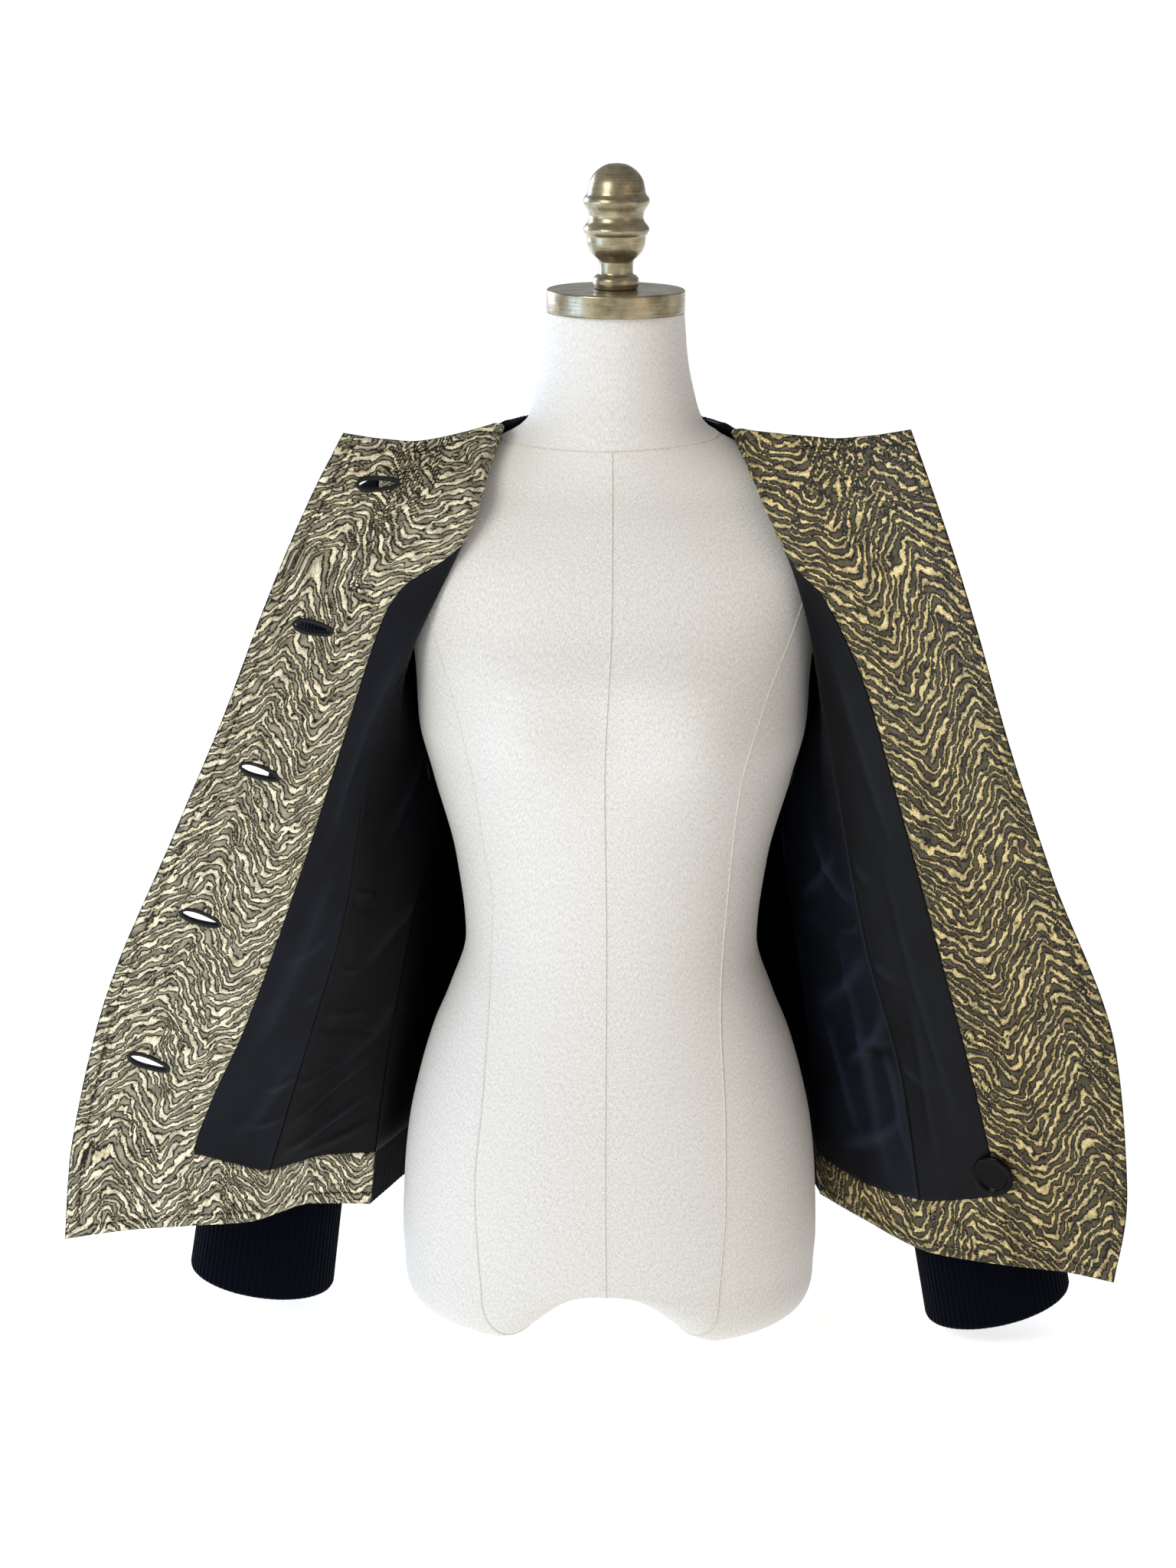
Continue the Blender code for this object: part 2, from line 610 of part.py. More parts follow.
class Front:
    """One front of the jacket: its surface, its offset directions and its pieces."""

    def __init__(self, side):
        self.side = side
        self.points = front_surface(side, ROWS, COLUMNS)
        self.normals = inward_normals(self.points)

    def piece(self, name, bands, low, high, material, group):
        """A wall on bands of this front's cells."""
        cells = cell_mask(len(ROWS), len(COLUMNS), bands)
        solid, faces = wall_solid(self.points, self.normals, cells, low, high)
        return add_mesh_object(f"{name}_{self.side}", solid, faces, material, group)

    def at(self, row, share):
        """A point of this front's grid, between its vertices."""
        place_row = float(np.interp(row, ROWS, range(len(ROWS))))
        place_column = float(np.interp(share, COLUMNS, range(len(COLUMNS))))
        low_row = min(int(place_row), len(ROWS) - 2)
        low_column = min(int(place_column), len(COLUMNS) - 2)
        up, across = place_row - low_row, place_column - low_column
        corners = self.points[low_row:low_row + 2, low_column:low_column + 2]
        return ((corners[0, 0] * (1 - across) + corners[0, 1] * across) * (1 - up)
                + (corners[1, 0] * (1 - across) + corners[1, 1] * across) * up)

    def place(self, height, from_edge):
        """Row and share at a height and at a distance from the front edge."""
        best = (1.0, 0.0, 0.0)
        for row in np.linspace(0, len(FRONT_SECTIONS["left"]) - 1, 400):
            edge, inner = self.at(row, 1.0), self.at(row, 0.7)
            share = 1.0 - 0.3 * from_edge / float(np.linalg.norm(edge - inner))
            best = min(best, (abs(float(self.at(row, share)[2]) - height), row, share))
        return best[1:]

    def frame_at(self, row, share, slope, reach):
        """A point on the front, its way across at a slope, its way up and its inward normal.

        The last value is how far the surface rises on either side of the tangent plane
        within reach, inwards and outwards.
        """
        point = self.at(row, share)
        spots = [self.at(row + up, share + across) for up in (-0.15, 0, 0.15) for across in (-0.1, 0, 0.1)]
        away = np.array(spots) - point
        normal = np.linalg.svd(away)[2][2]
        if np.dot(normal, self.normals[ROW_UNDERARM, COLUMN_EDGE]) < 0:
            normal = -normal
        level = np.cross(normal, (0, 0, 1))
        level /= np.linalg.norm(level)
        level *= 1 if self.side == "left" else -1
        upright = np.cross(normal, level)
        angle = math.radians(slope)
        across = level * math.cos(angle) + upright * math.sin(angle)
        rises = []
        for up in np.linspace(-0.4, 0.4, 17):
            for step in np.linspace(-0.15, 0.1, 17):
                offset = self.at(np.clip(row + up, 0, ROWS[-1]), min(share + step, 1.0)) - point
                if np.linalg.norm(offset) < reach:
                    rises.append(float(np.dot(offset, normal)))
        return point, across, np.cross(normal, across), normal, (max(rises), -min(rises))


def matrix_from(point, across, up, normal):
    """World matrix with X across, Y up and Z along the normal."""
    matrix = np.eye(4)
    matrix[:3, 0], matrix[:3, 1], matrix[:3, 2], matrix[:3, 3] = across, up, normal, point
    return Matrix(matrix.tolist())


def stadium_loop(length, width, height):
    """A closed loop of points round a slot with round ends."""
    angle = 2 * math.pi * (np.arange(SLIT_SIDES) + 0.5) / SLIT_SIDES
    x = np.cos(angle) * width / 2 + np.sign(np.cos(angle)) * (length - width) / 2
    return np.stack([x, np.sin(angle) * width / 2, np.full(SLIT_SIDES, height)], axis=-1)


def loop_solid(loops, ring):
    """Faces between loops of points in turn, closed back to the first or capped at both ends."""
    points = np.concatenate(loops)
    count = len(loops[0])
    faces = []
    for level in range(len(loops) if ring else len(loops) - 1):
        above = (level + 1) % len(loops)
        for side in range(count):
            after = (side + 1) % count
            a, b = level * count + side, level * count + after
            c, d = above * count + after, above * count + side
            faces += [(a, b, c), (a, c, d)]
    if not ring:
        faces.append(tuple(range(count)))
        faces.append(tuple(range((len(loops) - 1) * count, len(loops) * count))[::-1])
    return points, faces


def build_buttonholes(front, walls, materials, group, cutters):
    """Slits through shell and facing, each with a bound rim."""
    for number, (height, slope) in enumerate(FASTENINGS, start=1):
        row, share = front.place(height * MM, BUTTONHOLE_FROM_EDGE)
        place = matrix_from(*front.frame_at(row, share, slope, SLIT_LENGTH / 2)[:4])
        loops = [stadium_loop(SLIT_LENGTH, SLIT_WIDTH, end) for end in (-SLIT_REACH, SLIT_REACH)]
        cutter = add_mesh_object(f"slit_{number}", *loop_solid(loops, False), materials["binding"], cutters)
        cutter.matrix_world = place
        cutter.hide_render = True
        cutter.display_type = "WIRE"
        for wall in walls:
            cut = wall.modifiers.new(f"slit {number}", "BOOLEAN")
            cut.object = cutter
            cut.operation = "DIFFERENCE"
            cut.solver = "EXACT"
        low, high = -SHELL - BINDING_LIP, GAP + FACING + BINDING_LIP
        outer = (SLIT_LENGTH - 2 * GAP, SLIT_WIDTH - 2 * GAP)
        inner = (SLIT_LENGTH - 2 * BINDING_WIDTH, SLIT_WIDTH - 2 * BINDING_WIDTH)
        loops = [stadium_loop(*outer, low), stadium_loop(*outer, high),
                 stadium_loop(*inner, high), stadium_loop(*inner, low)]
        rim = add_mesh_object(f"buttonhole_{number}", *loop_solid(loops, True), materials["binding"], group)
        rim.matrix_world = place


def build_buttons(front, materials, group):
    """Five buttons on the outside of the wearer's left front and a spare one inside it."""
    reach = BUTTON_OUTLINE[-2][0] * MM
    for number, (height, slope) in enumerate(FASTENINGS, start=1):
        button = add_turned_object(f"button_{number}", BUTTON_OUTLINE, BUTTON_SIDES,
                                   materials["black_horn"], group)
        row, share = front.place(height * MM, BUTTON_FROM_EDGE)
        point, across, up, normal, rises = front.frame_at(row, share, slope, reach)
        point = point - normal * (SHELL + 2 * GAP + rises[1])
        button.matrix_world = matrix_from(point, across, -up, -normal)
    spare = add_turned_object("spare_button", BUTTON_OUTLINE, BUTTON_SIDES, materials["black_horn"], group)
    point, across, up, normal, rises = front.frame_at(*SPARE_BUTTON_PLACE, 0, reach)
    point = point + normal * (2 * GAP + FACING + rises[0])
    spare.matrix_world = matrix_from(point, across, up, normal)


def build_fronts(fronts, materials, group, cutters):
    """Shell, facing, hem facing and two lining panels of each front."""
    top = len(ROWS) - 1
    for front in fronts:
        shell = front.piece("front", [(0, top, COLUMN_SIDE, COLUMN_EDGE)], -SHELL, 0.0,
                            materials["jacquard"], group)
        facing = front.piece(
            "facing",
            [(0, top, COLUMN_FACING, COLUMN_EDGE), (ROW_ROLL_TOP, top, COLUMN_SEAM - 1, COLUMN_FACING)],
            GAP, GAP + FACING, materials["jacquard"], group)
        front.piece("hem_facing", [(0, ROW_HEM_FACING, COLUMN_SIDE, COLUMN_FACING)],
                    GAP, GAP + FACING, materials["jacquard"], group)
        front.piece(
            "front_lining",
            [(ROW_HEM_FACING, ROW_ROLL_TOP, COLUMN_SEAM, COLUMN_FACING),
             (ROW_UNDERARM, ROW_ROLL_TOP, COLUMN_SEAM - 1, COLUMN_SEAM)],
            GAP, GAP + LINING, materials["satin"], group)
        front.piece("side_lining", [(ROW_HEM_FACING, ROW_UNDERARM, COLUMN_SIDE, COLUMN_SEAM)],
                    GAP, GAP + LINING, materials["satin"], group)
        if front.side == "right":
            build_buttonholes(front, (shell, facing), materials, group, cutters)
        else:
            build_buttons(front, materials, group)


def build_back(fronts, materials, group):
    """The rib-knit back and its lining, mitred to the fronts; returns its two armhole edges."""
    columns = np.linspace(0, 1, BACK_CELLS + 1)
    points = back_surface(ROWS, columns)
    normals = inward_normals(points)
    for front, column in zip(fronts, (0, -1)):
        below = slice(0, ROW_UNDERARM + 1)
        shared = mitre(front.normals[below, 0], normals[below, column])
        front.normals[below, 0] = shared
        normals[below, column] = shared
        front.normals[-1, :COLUMN_SEAM + 1] = upright_mitre(front.normals[-1, :COLUMN_SEAM + 1])
    shoulder = np.abs(columns - 0.5) >= 0.5 - BACK_SHARES["inner"]
    normals[-1, shoulder] = upright_mitre(normals[-1, shoulder])
    everywhere = np.ones((len(ROWS) - 1, BACK_CELLS), bool)
    inner = draw_in(points, everywhere, GAP / 2)
    heights = rib_heights(BACK_CELLS * RIB_POINTS + 1)[None, :, None]
    outer = spread(inner, RIB_POINTS) - spread(normals, RIB_POINTS) * heights
    solid, faces = ribbed_wall(inner, outer, inner_diagonals(points, normals), RIB_POINTS, False)
    add_mesh_object("back", solid, faces, materials["rib_knit"], group)
    cells = cell_mask(len(ROWS), BACK_CELLS + 1, [(BACK_LINING_ROW, len(ROWS) - 1, 0, BACK_CELLS)])
    solid, faces = wall_solid(points, normals, cells, GAP, GAP + LINING)
    add_mesh_object("back_lining", solid, faces, materials["satin"], group)
    return [(points[ROW_UNDERARM:, column], normals[ROW_UNDERARM:, column]) for column in (0, -1)]


def armhole_ring(front, back_edge, mirror):
    """The armhole's edge from the shoulder down the back and up the front, moved clear of the walls."""
    back_points, back_normals = back_edge
    front_points, front_normals = front.points[ROW_UNDERARM:, 0], front.normals[ROW_UNDERARM:, 0]
    ring = np.concatenate([back_points[::-1], front_points[1:-1]])
    normals = np.concatenate([back_normals[::-1], front_normals[1:-1]])
    ring[:, 0] += mirror * (np.abs(normals[:, 0]) * (RIB_VALLEY + RIB_RISE) + 2 * GAP)
    return ring


def sleeve_rings(side, armhole, points_per_cell, offsets):
    """Rings of a sleeve from the armhole to the wrist, moved out by the offsets."""
    mirror = -1 if side == "right" else 1
    rows = smooth_between(range(len(SLEEVE_SECTIONS[side])), np.array(SLEEVE_SECTIONS[side], float), SLEEVE_ROWS)
    count = SLEEVE_CELLS * points_per_cell
    closed = np.concatenate([armhole, armhole[:1]])[None]
    first = spread(closed, count // len(armhole))[0, :-1]
    angles = 2 * math.pi * np.arange(count) / count
    centre = np.array([mirror * ARMHOLE_X, ARMHOLE_Y, ARMHOLE_Z])
    away = (first - centre) * (0, 1 / ARMHOLE_HALF_DEPTH, 1 / ARMHOLE_HALF_HEIGHT)
    away /= np.linalg.norm(away, axis=1, keepdims=True)
    rings = [first + away * offsets[:, None]]
    for x, y, z, half, depth, turn, dip in rows:
        lean, tip = math.radians(turn), math.radians(dip)
        outward = np.array([mirror * math.sin(lean), 0.0, math.cos(lean)])
        backward = np.array([0.0, math.cos(tip), math.sin(tip)])
        ring = (np.array([x, y, z]) * MM + np.outer(np.cos(angles) * (half * MM + offsets), outward)
                + np.outer(np.sin(angles) * (depth * MM + offsets), backward))
        rings.append(ring)
    return np.array(rings)


def build_sleeves(fronts, back_edges, materials, group):
    """Two rib-knit sleeves, wide and open at the wrist."""
    for front, back_edge, mirror in zip(fronts, back_edges, (-1, 1)):
        armhole = armhole_ring(front, back_edge, mirror)
        inner = sleeve_rings(front.side, armhole, 1, np.zeros(SLEEVE_CELLS))
        heights = rib_heights(SLEEVE_CELLS * SLEEVE_RIB_POINTS)
        outer = sleeve_rings(front.side, armhole, SLEEVE_RIB_POINTS, heights)
        level = np.zeros((len(inner) - 1, SLEEVE_CELLS), bool)
        points, faces = ribbed_wall(inner, outer, level, SLEEVE_RIB_POINTS, True)
        add_mesh_object(f"sleeve_{front.side}", points, faces, materials["rib_knit"], group)


def move_to_middle(collections):
    """Move every piece and cutter, so that the middle of the whole part is over the origin."""
    for collection in collections:
        for item in collection.objects:
            item.location += Vector(TO_MIDDLE)


def main():
    """Build the form and every piece of the jacket."""
    clear_scene()
    group = new_collection("jacket_on_dress_form")
    cutters = new_collection("cutters")
    materials = {name: new_material(name) for name in COLOURS}
    build_form(materials, group)
    build_metal_top(materials, group)
    fronts = [Front("right"), Front("left")]
    back_edges = build_back(fronts, materials, group)
    build_fronts(fronts, materials, group, cutters)
    build_sleeves(fronts, back_edges, materials, group)
    move_to_middle((group, cutters))


main()
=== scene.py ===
"""Looks of an open, collarless jacket that hangs from a limbless dress form.

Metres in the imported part's frame: +Z up, the front faces -Y and +X is the viewer's right. Left and
right in names are the wearer's. Both fronts are swung wide open, so that their insides show: a
facing and a hem facing of puckered gold jacquard round a black satin lining. Back and sleeves are
rib knit.

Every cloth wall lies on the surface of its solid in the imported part, worked out from the same
sections and then read at finer steps. A wall's visible face carries its relief: puckers, ribs,
wrinkles and turned edges.
"""
from __future__ import annotations

import logging
import math
from dataclasses import dataclass, field
from enum import Enum
from typing import Sequence

import bpy
import numpy as np
from mathutils import Matrix


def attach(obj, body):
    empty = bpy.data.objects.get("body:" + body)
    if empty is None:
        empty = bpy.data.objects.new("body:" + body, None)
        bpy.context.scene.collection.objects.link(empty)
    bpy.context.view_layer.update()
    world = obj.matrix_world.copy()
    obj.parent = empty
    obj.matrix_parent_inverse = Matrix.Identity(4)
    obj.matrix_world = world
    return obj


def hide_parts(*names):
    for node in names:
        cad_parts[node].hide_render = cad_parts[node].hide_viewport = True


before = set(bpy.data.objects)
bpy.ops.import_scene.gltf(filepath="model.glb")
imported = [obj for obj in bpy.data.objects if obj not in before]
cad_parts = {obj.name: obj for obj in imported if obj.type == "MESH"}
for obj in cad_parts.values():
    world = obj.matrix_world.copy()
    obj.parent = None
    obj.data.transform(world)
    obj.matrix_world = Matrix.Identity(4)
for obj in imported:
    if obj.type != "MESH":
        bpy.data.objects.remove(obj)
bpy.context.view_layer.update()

LOG = logging.getLogger("jacket")
BODY = "root"
MM = 0.001
GAP = 0.3
SHELL = 1.4
FACING = 1.4
LINING = 1.0
RIB_VALLEY = 1.4
RIB_RISE = 0.8
# From the middle of the form, round which all is worked out, to the middle of the whole part
TO_MIDDLE = np.array((10.5, 1.8, 0.0)) * MM

# Dress form sections: (height, half width, depth in front, depth behind, squareness)
FORM_SECTIONS = (
    (56, 163.5, 94, 115, 2.3),
    (80, 165, 99, 119, 2.3),
    (132, 163, 104, 122, 2.3),
    (170, 159, 103, 118, 2.3),
    (208, 151, 99, 108, 2.3),
    (246, 140, 94, 96, 2.2),
    (278, 127, 90, 87, 2.2),
    (322, 114, 87, 81, 2.2),
    (386, 121, 94, 85, 2.2),
    (455, 139, 114, 96, 2.2),
    (498, 149, 125, 100, 2.3),
    (536, 151, 124, 103, 2.3),
    (580, 157, 107, 105, 2.4),
    (625, 167, 91, 103, 2.4),
    (655, 168, 78, 92, 2.0),
    (680, 153, 65, 76, 1.7),
    (700, 114, 59, 64, 1.65),
    (712, 84, 57, 60, 1.8),
    (724, 67, 55, 57, 2.0),
    (745, 60, 51, 53, 2.0),
    (770, 55, 49, 49, 2.0),
    (804, 52, 47, 47, 2.0),
)

# Side seams from hem to waist: (x, y, height)
SIDE_SEAMS = {
    "right": ((-189, -20, 100), (-185, -20, 144), (-174, -10, 230), (-158, 0, 321), (-141, 28, 408)),
    "left": ((169, 42, 92), (165, 38, 130), (156, 28, 235), (144, 24, 320), (133, 32, 406)),
}

# Front sections from hem to neckline: under, seam, facing and edge points (x, y, height), then dip
FRONT_COLUMNS = ("under", "seam", "facing", "edge", "dip")
FRONT_SECTIONS = {
    "right": (
        ((-240, -31, 103), (-275, -68, 103), (-319, -85, 105), (-414, -115, 104), 0),
        ((-228, -36, 146), (-262, -68, 146), (-317, -88, 165), (-408, -117, 167), 0),
        ((-206, -38, 240), (-231, -70, 249), (-277, -95, 265), (-376, -126, 298), 0),
        ((-182, -34, 338), (-200, -68, 358), (-232, -100, 388), (-317, -140, 435), 0),
        ((-166, -14, 430), (-184, -58, 462), (-199, -97, 490), (-276, -145, 530), 0),
        ((-161, -30, 500), (-162, -63, 530), (-182, -93, 545), (-253, -144, 590), 0),
        ((-150, -62, 592), (-130, -74, 600), (-161, -90, 600), (-233, -140, 640), -1),
        ((-138, -60, 652), (-102, -76, 660), (-111, -85, 660), (-212, -127, 688), -3),
        ((-128, 0, 696), (-84, 0, 715), (-89, -34, 725), (-191, -115, 729), -10),
    ),
    "left": (
        ((205, -14, 92), (251, -68, 89), (316, -100, 92), (386, -127, 92), 0),
        ((200, -22, 128), (243, -62, 130), (301, -97, 148), (393, -128, 155), 0),
        ((192, -24, 236), (226, -60, 231), (277, -100, 242), (378, -134, 281), 0),
        ((172, -22, 327), (197, -62, 332), (243, -102, 362), (327, -140, 411), 0),
        ((158, -8, 425), (173, -55, 450), (210, -99, 475), (290, -146, 515), 0),
        ((160, -30, 500), (158, -62, 530), (188, -93, 545), (267, -143, 590), 0),
        ((154, -62, 590), (143, -75, 600), (162, -91, 600), (250, -137, 642), -1),
        ((143, -60, 650), (120, -74, 660), (127, -84, 655), (232, -127, 692), -3),
        ((130, 0, 695), (88, 0, 714), (97, -34, 723), (215, -114, 736), -7),
    ),
}
FRONT_SHARES = {"side": 0.0, "under": 0.2, "seam": 0.4, "facing": 0.55, "middle": 0.78, "edge": 1.0}

# Back half sections at the same rows: blade, inner, near and centre points (x, y, height)
BACK_SECTIONS = (
    ((158, 78, 96), (100, 120, 95), (52, 136, 94), (0, 142, 94)),
    ((156, 75, 138), (98, 117, 137), (51, 133, 136), (0, 138, 136)),
    ((142, 64, 236), (92, 100, 236), (48, 113, 236), (0, 118, 236)),
    ((129, 58, 326), (84, 85, 327), (44, 94, 327), (0, 98, 327)),
    ((123, 66, 412), (84, 92, 414), (44, 100, 415), (0, 103, 415)),
    ((148, 66, 498), (96, 104, 506), (50, 113, 510), (0, 114, 510)),
    ((155, 82, 592), (100, 106, 596), (52, 114, 598), (0, 115, 598)),
    ((152, 66, 656), (98, 88, 670), (54, 95, 677), (0, 96, 680)),
    ((128, 0, 696), (86, 0, 714), (64, 40, 721), (0, 65, 726)),
)
BACK_SHARES = {"side": 0.0, "blade": 0.14, "inner": 0.32, "near": 0.415, "centre": 0.5}

# Sleeve sections: (middle x, y, height, half width, half depth, turn from upright, dip in front)
SLEEVE_SECTIONS = {
    "right": (
        (-193, 9, 565, 82, 54, 24, 0),
        (-206, 8, 505, 56, 51, 43, 0),
        (-220, 8, 438, 46, 46, 67, 0),
        (-237, 9, 342, 47, 42, 80, 0),
        (-256, 10, 206, 52, 37, 84, 3),
        (-280, 6, 29, 56, 36, 82, 11),
    ),
    "left": (
        (193, 9, 565, 82, 54, 24, 0),
        (207, 8, 505, 56, 51, 43, 0),
        (223, 4, 438, 46, 46, 67, 0),
        (247, -2, 342, 47, 42, 79, 0),
        (274, -8, 206, 53, 38, 78, 4),
        (309, -14, 29, 56, 38, 76, 11),
    ),
}

# Rows and columns of the solids' walls, and the rows at which pieces begin and end
CAD_ROWS = (0.0, 1.0, 1.5, 2.0, 3.0, 4.0, 5.0, 5.5, 6.0, 6.5, 7.2, 7.62, 8.0)
CAD_COLUMNS = (0.0, 0.1, 0.2, 0.3, 0.4, 0.475, 0.55, 0.66, 0.78, 0.89, 1.0)
CAD_BACK_COLUMNS = tuple(step / 20 for step in range(21))
CAD_SLEEVE_ROWS = (0.0, 0.5, 1.0, 2.0, 3.0, 4.0, 5.0)
CAD_SLEEVE_CELLS = 24
ROW_HEM_FACING, ROW_UNDERARM, ROW_NECK = 1.0, 5.0, 8.0


def smooth_between(knots: Sequence[float], values: np.ndarray, at: np.ndarray) -> np.ndarray:
    """Cubic curves through the values that never swing past them.

    Each tangent is the weighted harmonic mean of the slopes on both sides, or zero at a turn.

    Args:
        knots: where along the curve the values lie.
        values: one row of values for each knot; any further shape.
        at: where to read the curves. A flat array reads all curves at the same places. A table
            with one row per curve reads each at places of its own.

    Returns:
        The values read, with the shape of at first, then the rest of the values' shape.
    """
    knots = np.asarray(knots, float)
    values = np.asarray(values, float)
    at = np.asarray(at, float)
    span = np.diff(knots)
    wide = span.reshape((-1,) + (1,) * (values.ndim - 1))
    slope = np.diff(values, axis=0) / wide
    before, after = slope[:-1], slope[1:]
    same = before * after > 0
    weight_a, weight_b = 2 * wide[1:] + wide[:-1], wide[1:] + 2 * wide[:-1]
    mean = (weight_a + weight_b) / (weight_a / np.where(same, before, 1.0)
                                    + weight_b / np.where(same, after, 1.0))
    tangent = np.zeros_like(values)
    tangent[1:-1] = np.where(same, mean, 0.0)
    tangent[0], tangent[-1] = slope[0], slope[-1]
    index = np.clip(np.searchsorted(knots, at, side="right") - 1, 0, len(knots) - 2)
    picked = index if at.ndim == 1 else (index, np.arange(len(at))[:, None])
    following = index + 1 if at.ndim == 1 else (index + 1, np.arange(len(at))[:, None])
    more = (1,) * (values.ndim - at.ndim)
    t = ((at - knots[index]) / span[index]).reshape(at.shape + more)
    width = span[index].reshape(at.shape + more)
    return ((2 * t**3 - 3 * t**2 + 1) * values[picked] + (t**3 - 2 * t**2 + t) * width * tangent[picked]
            + (3 * t**2 - 2 * t**3) * values[following] + (t**3 - t**2) * width * tangent[following])


def unit(vectors: np.ndarray) -> np.ndarray:
    """Vectors scaled to length one."""
    return vectors / np.maximum(np.linalg.norm(vectors, axis=-1, keepdims=True), 1e-12)


def smooth_step(low: float, high: float, value: np.ndarray) -> np.ndarray:
    """Rises from 0 at low to 1 at high along 3t^2 - 2t^3."""
    t = np.clip((np.asarray(value, float) - low) / (high - low), 0.0, 1.0)
    return t * t * (3 - 2 * t)


def grid_normals(points: np.ndarray) -> np.ndarray:
    """Unit normals of a grid of points, each the mean of the cells that meet there."""
    a, b, c, d = points[:-1, :-1], points[:-1, 1:], points[1:, 1:], points[1:, :-1]
    cells = unit(unit(np.cross(b - a, c - a)) + unit(np.cross(c - a, d - a)))
    normals = np.zeros_like(points)
    for rows in (slice(None, -1), slice(1, None)):
        for columns in (slice(None, -1), slice(1, None)):
            normals[rows, columns] += cells
    return unit(normals)


def edge_steps(length: float, pitch: float, ends: Sequence[float], multiple: int = 1) -> np.ndarray:
    """Shares from 0 to 1 along a length in mm: even steps, with closer ones at both ends.

    Args:
        length: the real length.
        pitch: about how long an even step is.
        ends: distances from each end at which the closer steps lie.
        multiple: the count of all steps divides by it.

    Returns:
        The shares, in order.
    """
    ends = np.asarray(ends, float)
    closer = 2 * (len(ends) - 1)
    count = max(round((length - 2 * ends[-1]) / pitch), 2) + closer
    count = -(-count // multiple) * multiple - closer
    inner = np.linspace(ends[-1], length - ends[-1], count + 1)
    return np.concatenate([ends[:-1], inner, length - ends[-2::-1]]) / length


def read_table(table: np.ndarray, rows: np.ndarray | float, columns: np.ndarray | float,
               wrap: bool = False) -> np.ndarray:
    """A table read in a straight line between its cells.

    Args:
        table: grid of numbers or points.
        rows, columns: places on the grid, in cells.
        wrap: whether the table repeats without end; otherwise its outer cells go on outwards.

    Returns:
        What lies at the places.
    """
    count_r, count_c = table.shape[:2]
    low_r, low_c = np.floor(rows).astype(int), np.floor(columns).astype(int)
    if not wrap:
        low_r, low_c = np.clip(low_r, 0, count_r - 2), np.clip(low_c, 0, count_c - 2)
    up, on = rows - low_r, columns - low_c
    next_r, next_c = (low_r + 1) % count_r, (low_c + 1) % count_c
    low_r, low_c = low_r % count_r, low_c % count_c
    low = table[low_r, low_c] * (1 - on) + table[low_r, next_c] * on
    high = table[next_r, low_c] * (1 - on) + table[next_r, next_c] * on
    return low * (1 - up) + high * up


class Side(Enum):
    """The wearer's side; its value is the sign of x."""

    RIGHT = -1
    LEFT = 1

    @property
    def word(self) -> str:
        """The side as it stands in names."""
        return self.name.lower()


@dataclass(frozen=True)
class Armhole:
    """An oval in a plane that leans out towards the shoulder, in mm."""

    x: float = 167.0
    y: float = 10.0
    z: float = 593.0
    half_height: float = 87.0
    half_depth: float = 50.0
    lean: float = math.tan(math.radians(7))
    sections: tuple = (5, 5.5, 6, 7, 8)
    in_front: tuple = (180, 126, 95, 57, 11.54)
    behind: tuple = (180, 126, 98, 60, -11.54)

    def side_line(self, side: Side, rows: Sequence[float], behind: bool) -> np.ndarray:
        """The side seam and, above it, the front or the back edge of the armhole.

        Args:
            side: which armhole.
            rows: rows, counted in sections from the hem.
            behind: whether to follow the back edge.

        Returns:
            A point in metres for each row.
        """
        rows = np.asarray(rows, float)
        places = self.behind if behind else self.in_front
        angle = np.radians(smooth_between(self.sections, places, np.maximum(rows, self.sections[0])))
        rise = self.half_height * np.cos(angle)
        depth = self.half_depth * np.sin(angle) * (1 if behind else -1)
        hole = np.stack([side.value * (self.x + rise * self.lean), self.y + depth, self.z + rise], axis=-1)
        underarm = (side.value * (self.x - self.half_height * self.lean), self.y, self.z - self.half_height)
        knots = np.vstack([np.array(SIDE_SEAMS[side.word], float), underarm])
        seam = smooth_between(range(len(knots)), knots, np.minimum(rows, len(knots) - 1))
        return np.where((rows <= self.sections[0])[:, None], seam, hole) * MM


@dataclass
class Surface:
    """A wall's surface: points and the ways in which its faces are moved off them.

    Both are grids over rows and columns of the solid, and are read anywhere between.
    """

    points: np.ndarray
    ways: np.ndarray
    rows: Sequence[float]
    columns: Sequence[float]

    def read(self, rows: np.ndarray, columns: np.ndarray) -> tuple[np.ndarray, np.ndarray]:
        """Points and ways at rows and columns; columns may be a table with a line for each row."""
        found = []
        for grid in (self.points, self.ways):
            lines = smooth_between(self.rows, grid, rows)
            lines = np.swapaxes(lines, 0, 1)
            if np.ndim(columns) == 1:
                found.append(np.swapaxes(smooth_between(self.columns, lines, columns), 0, 1))
            else:
                found.append(smooth_between(self.columns, lines, columns))
        return found[0], found[1]


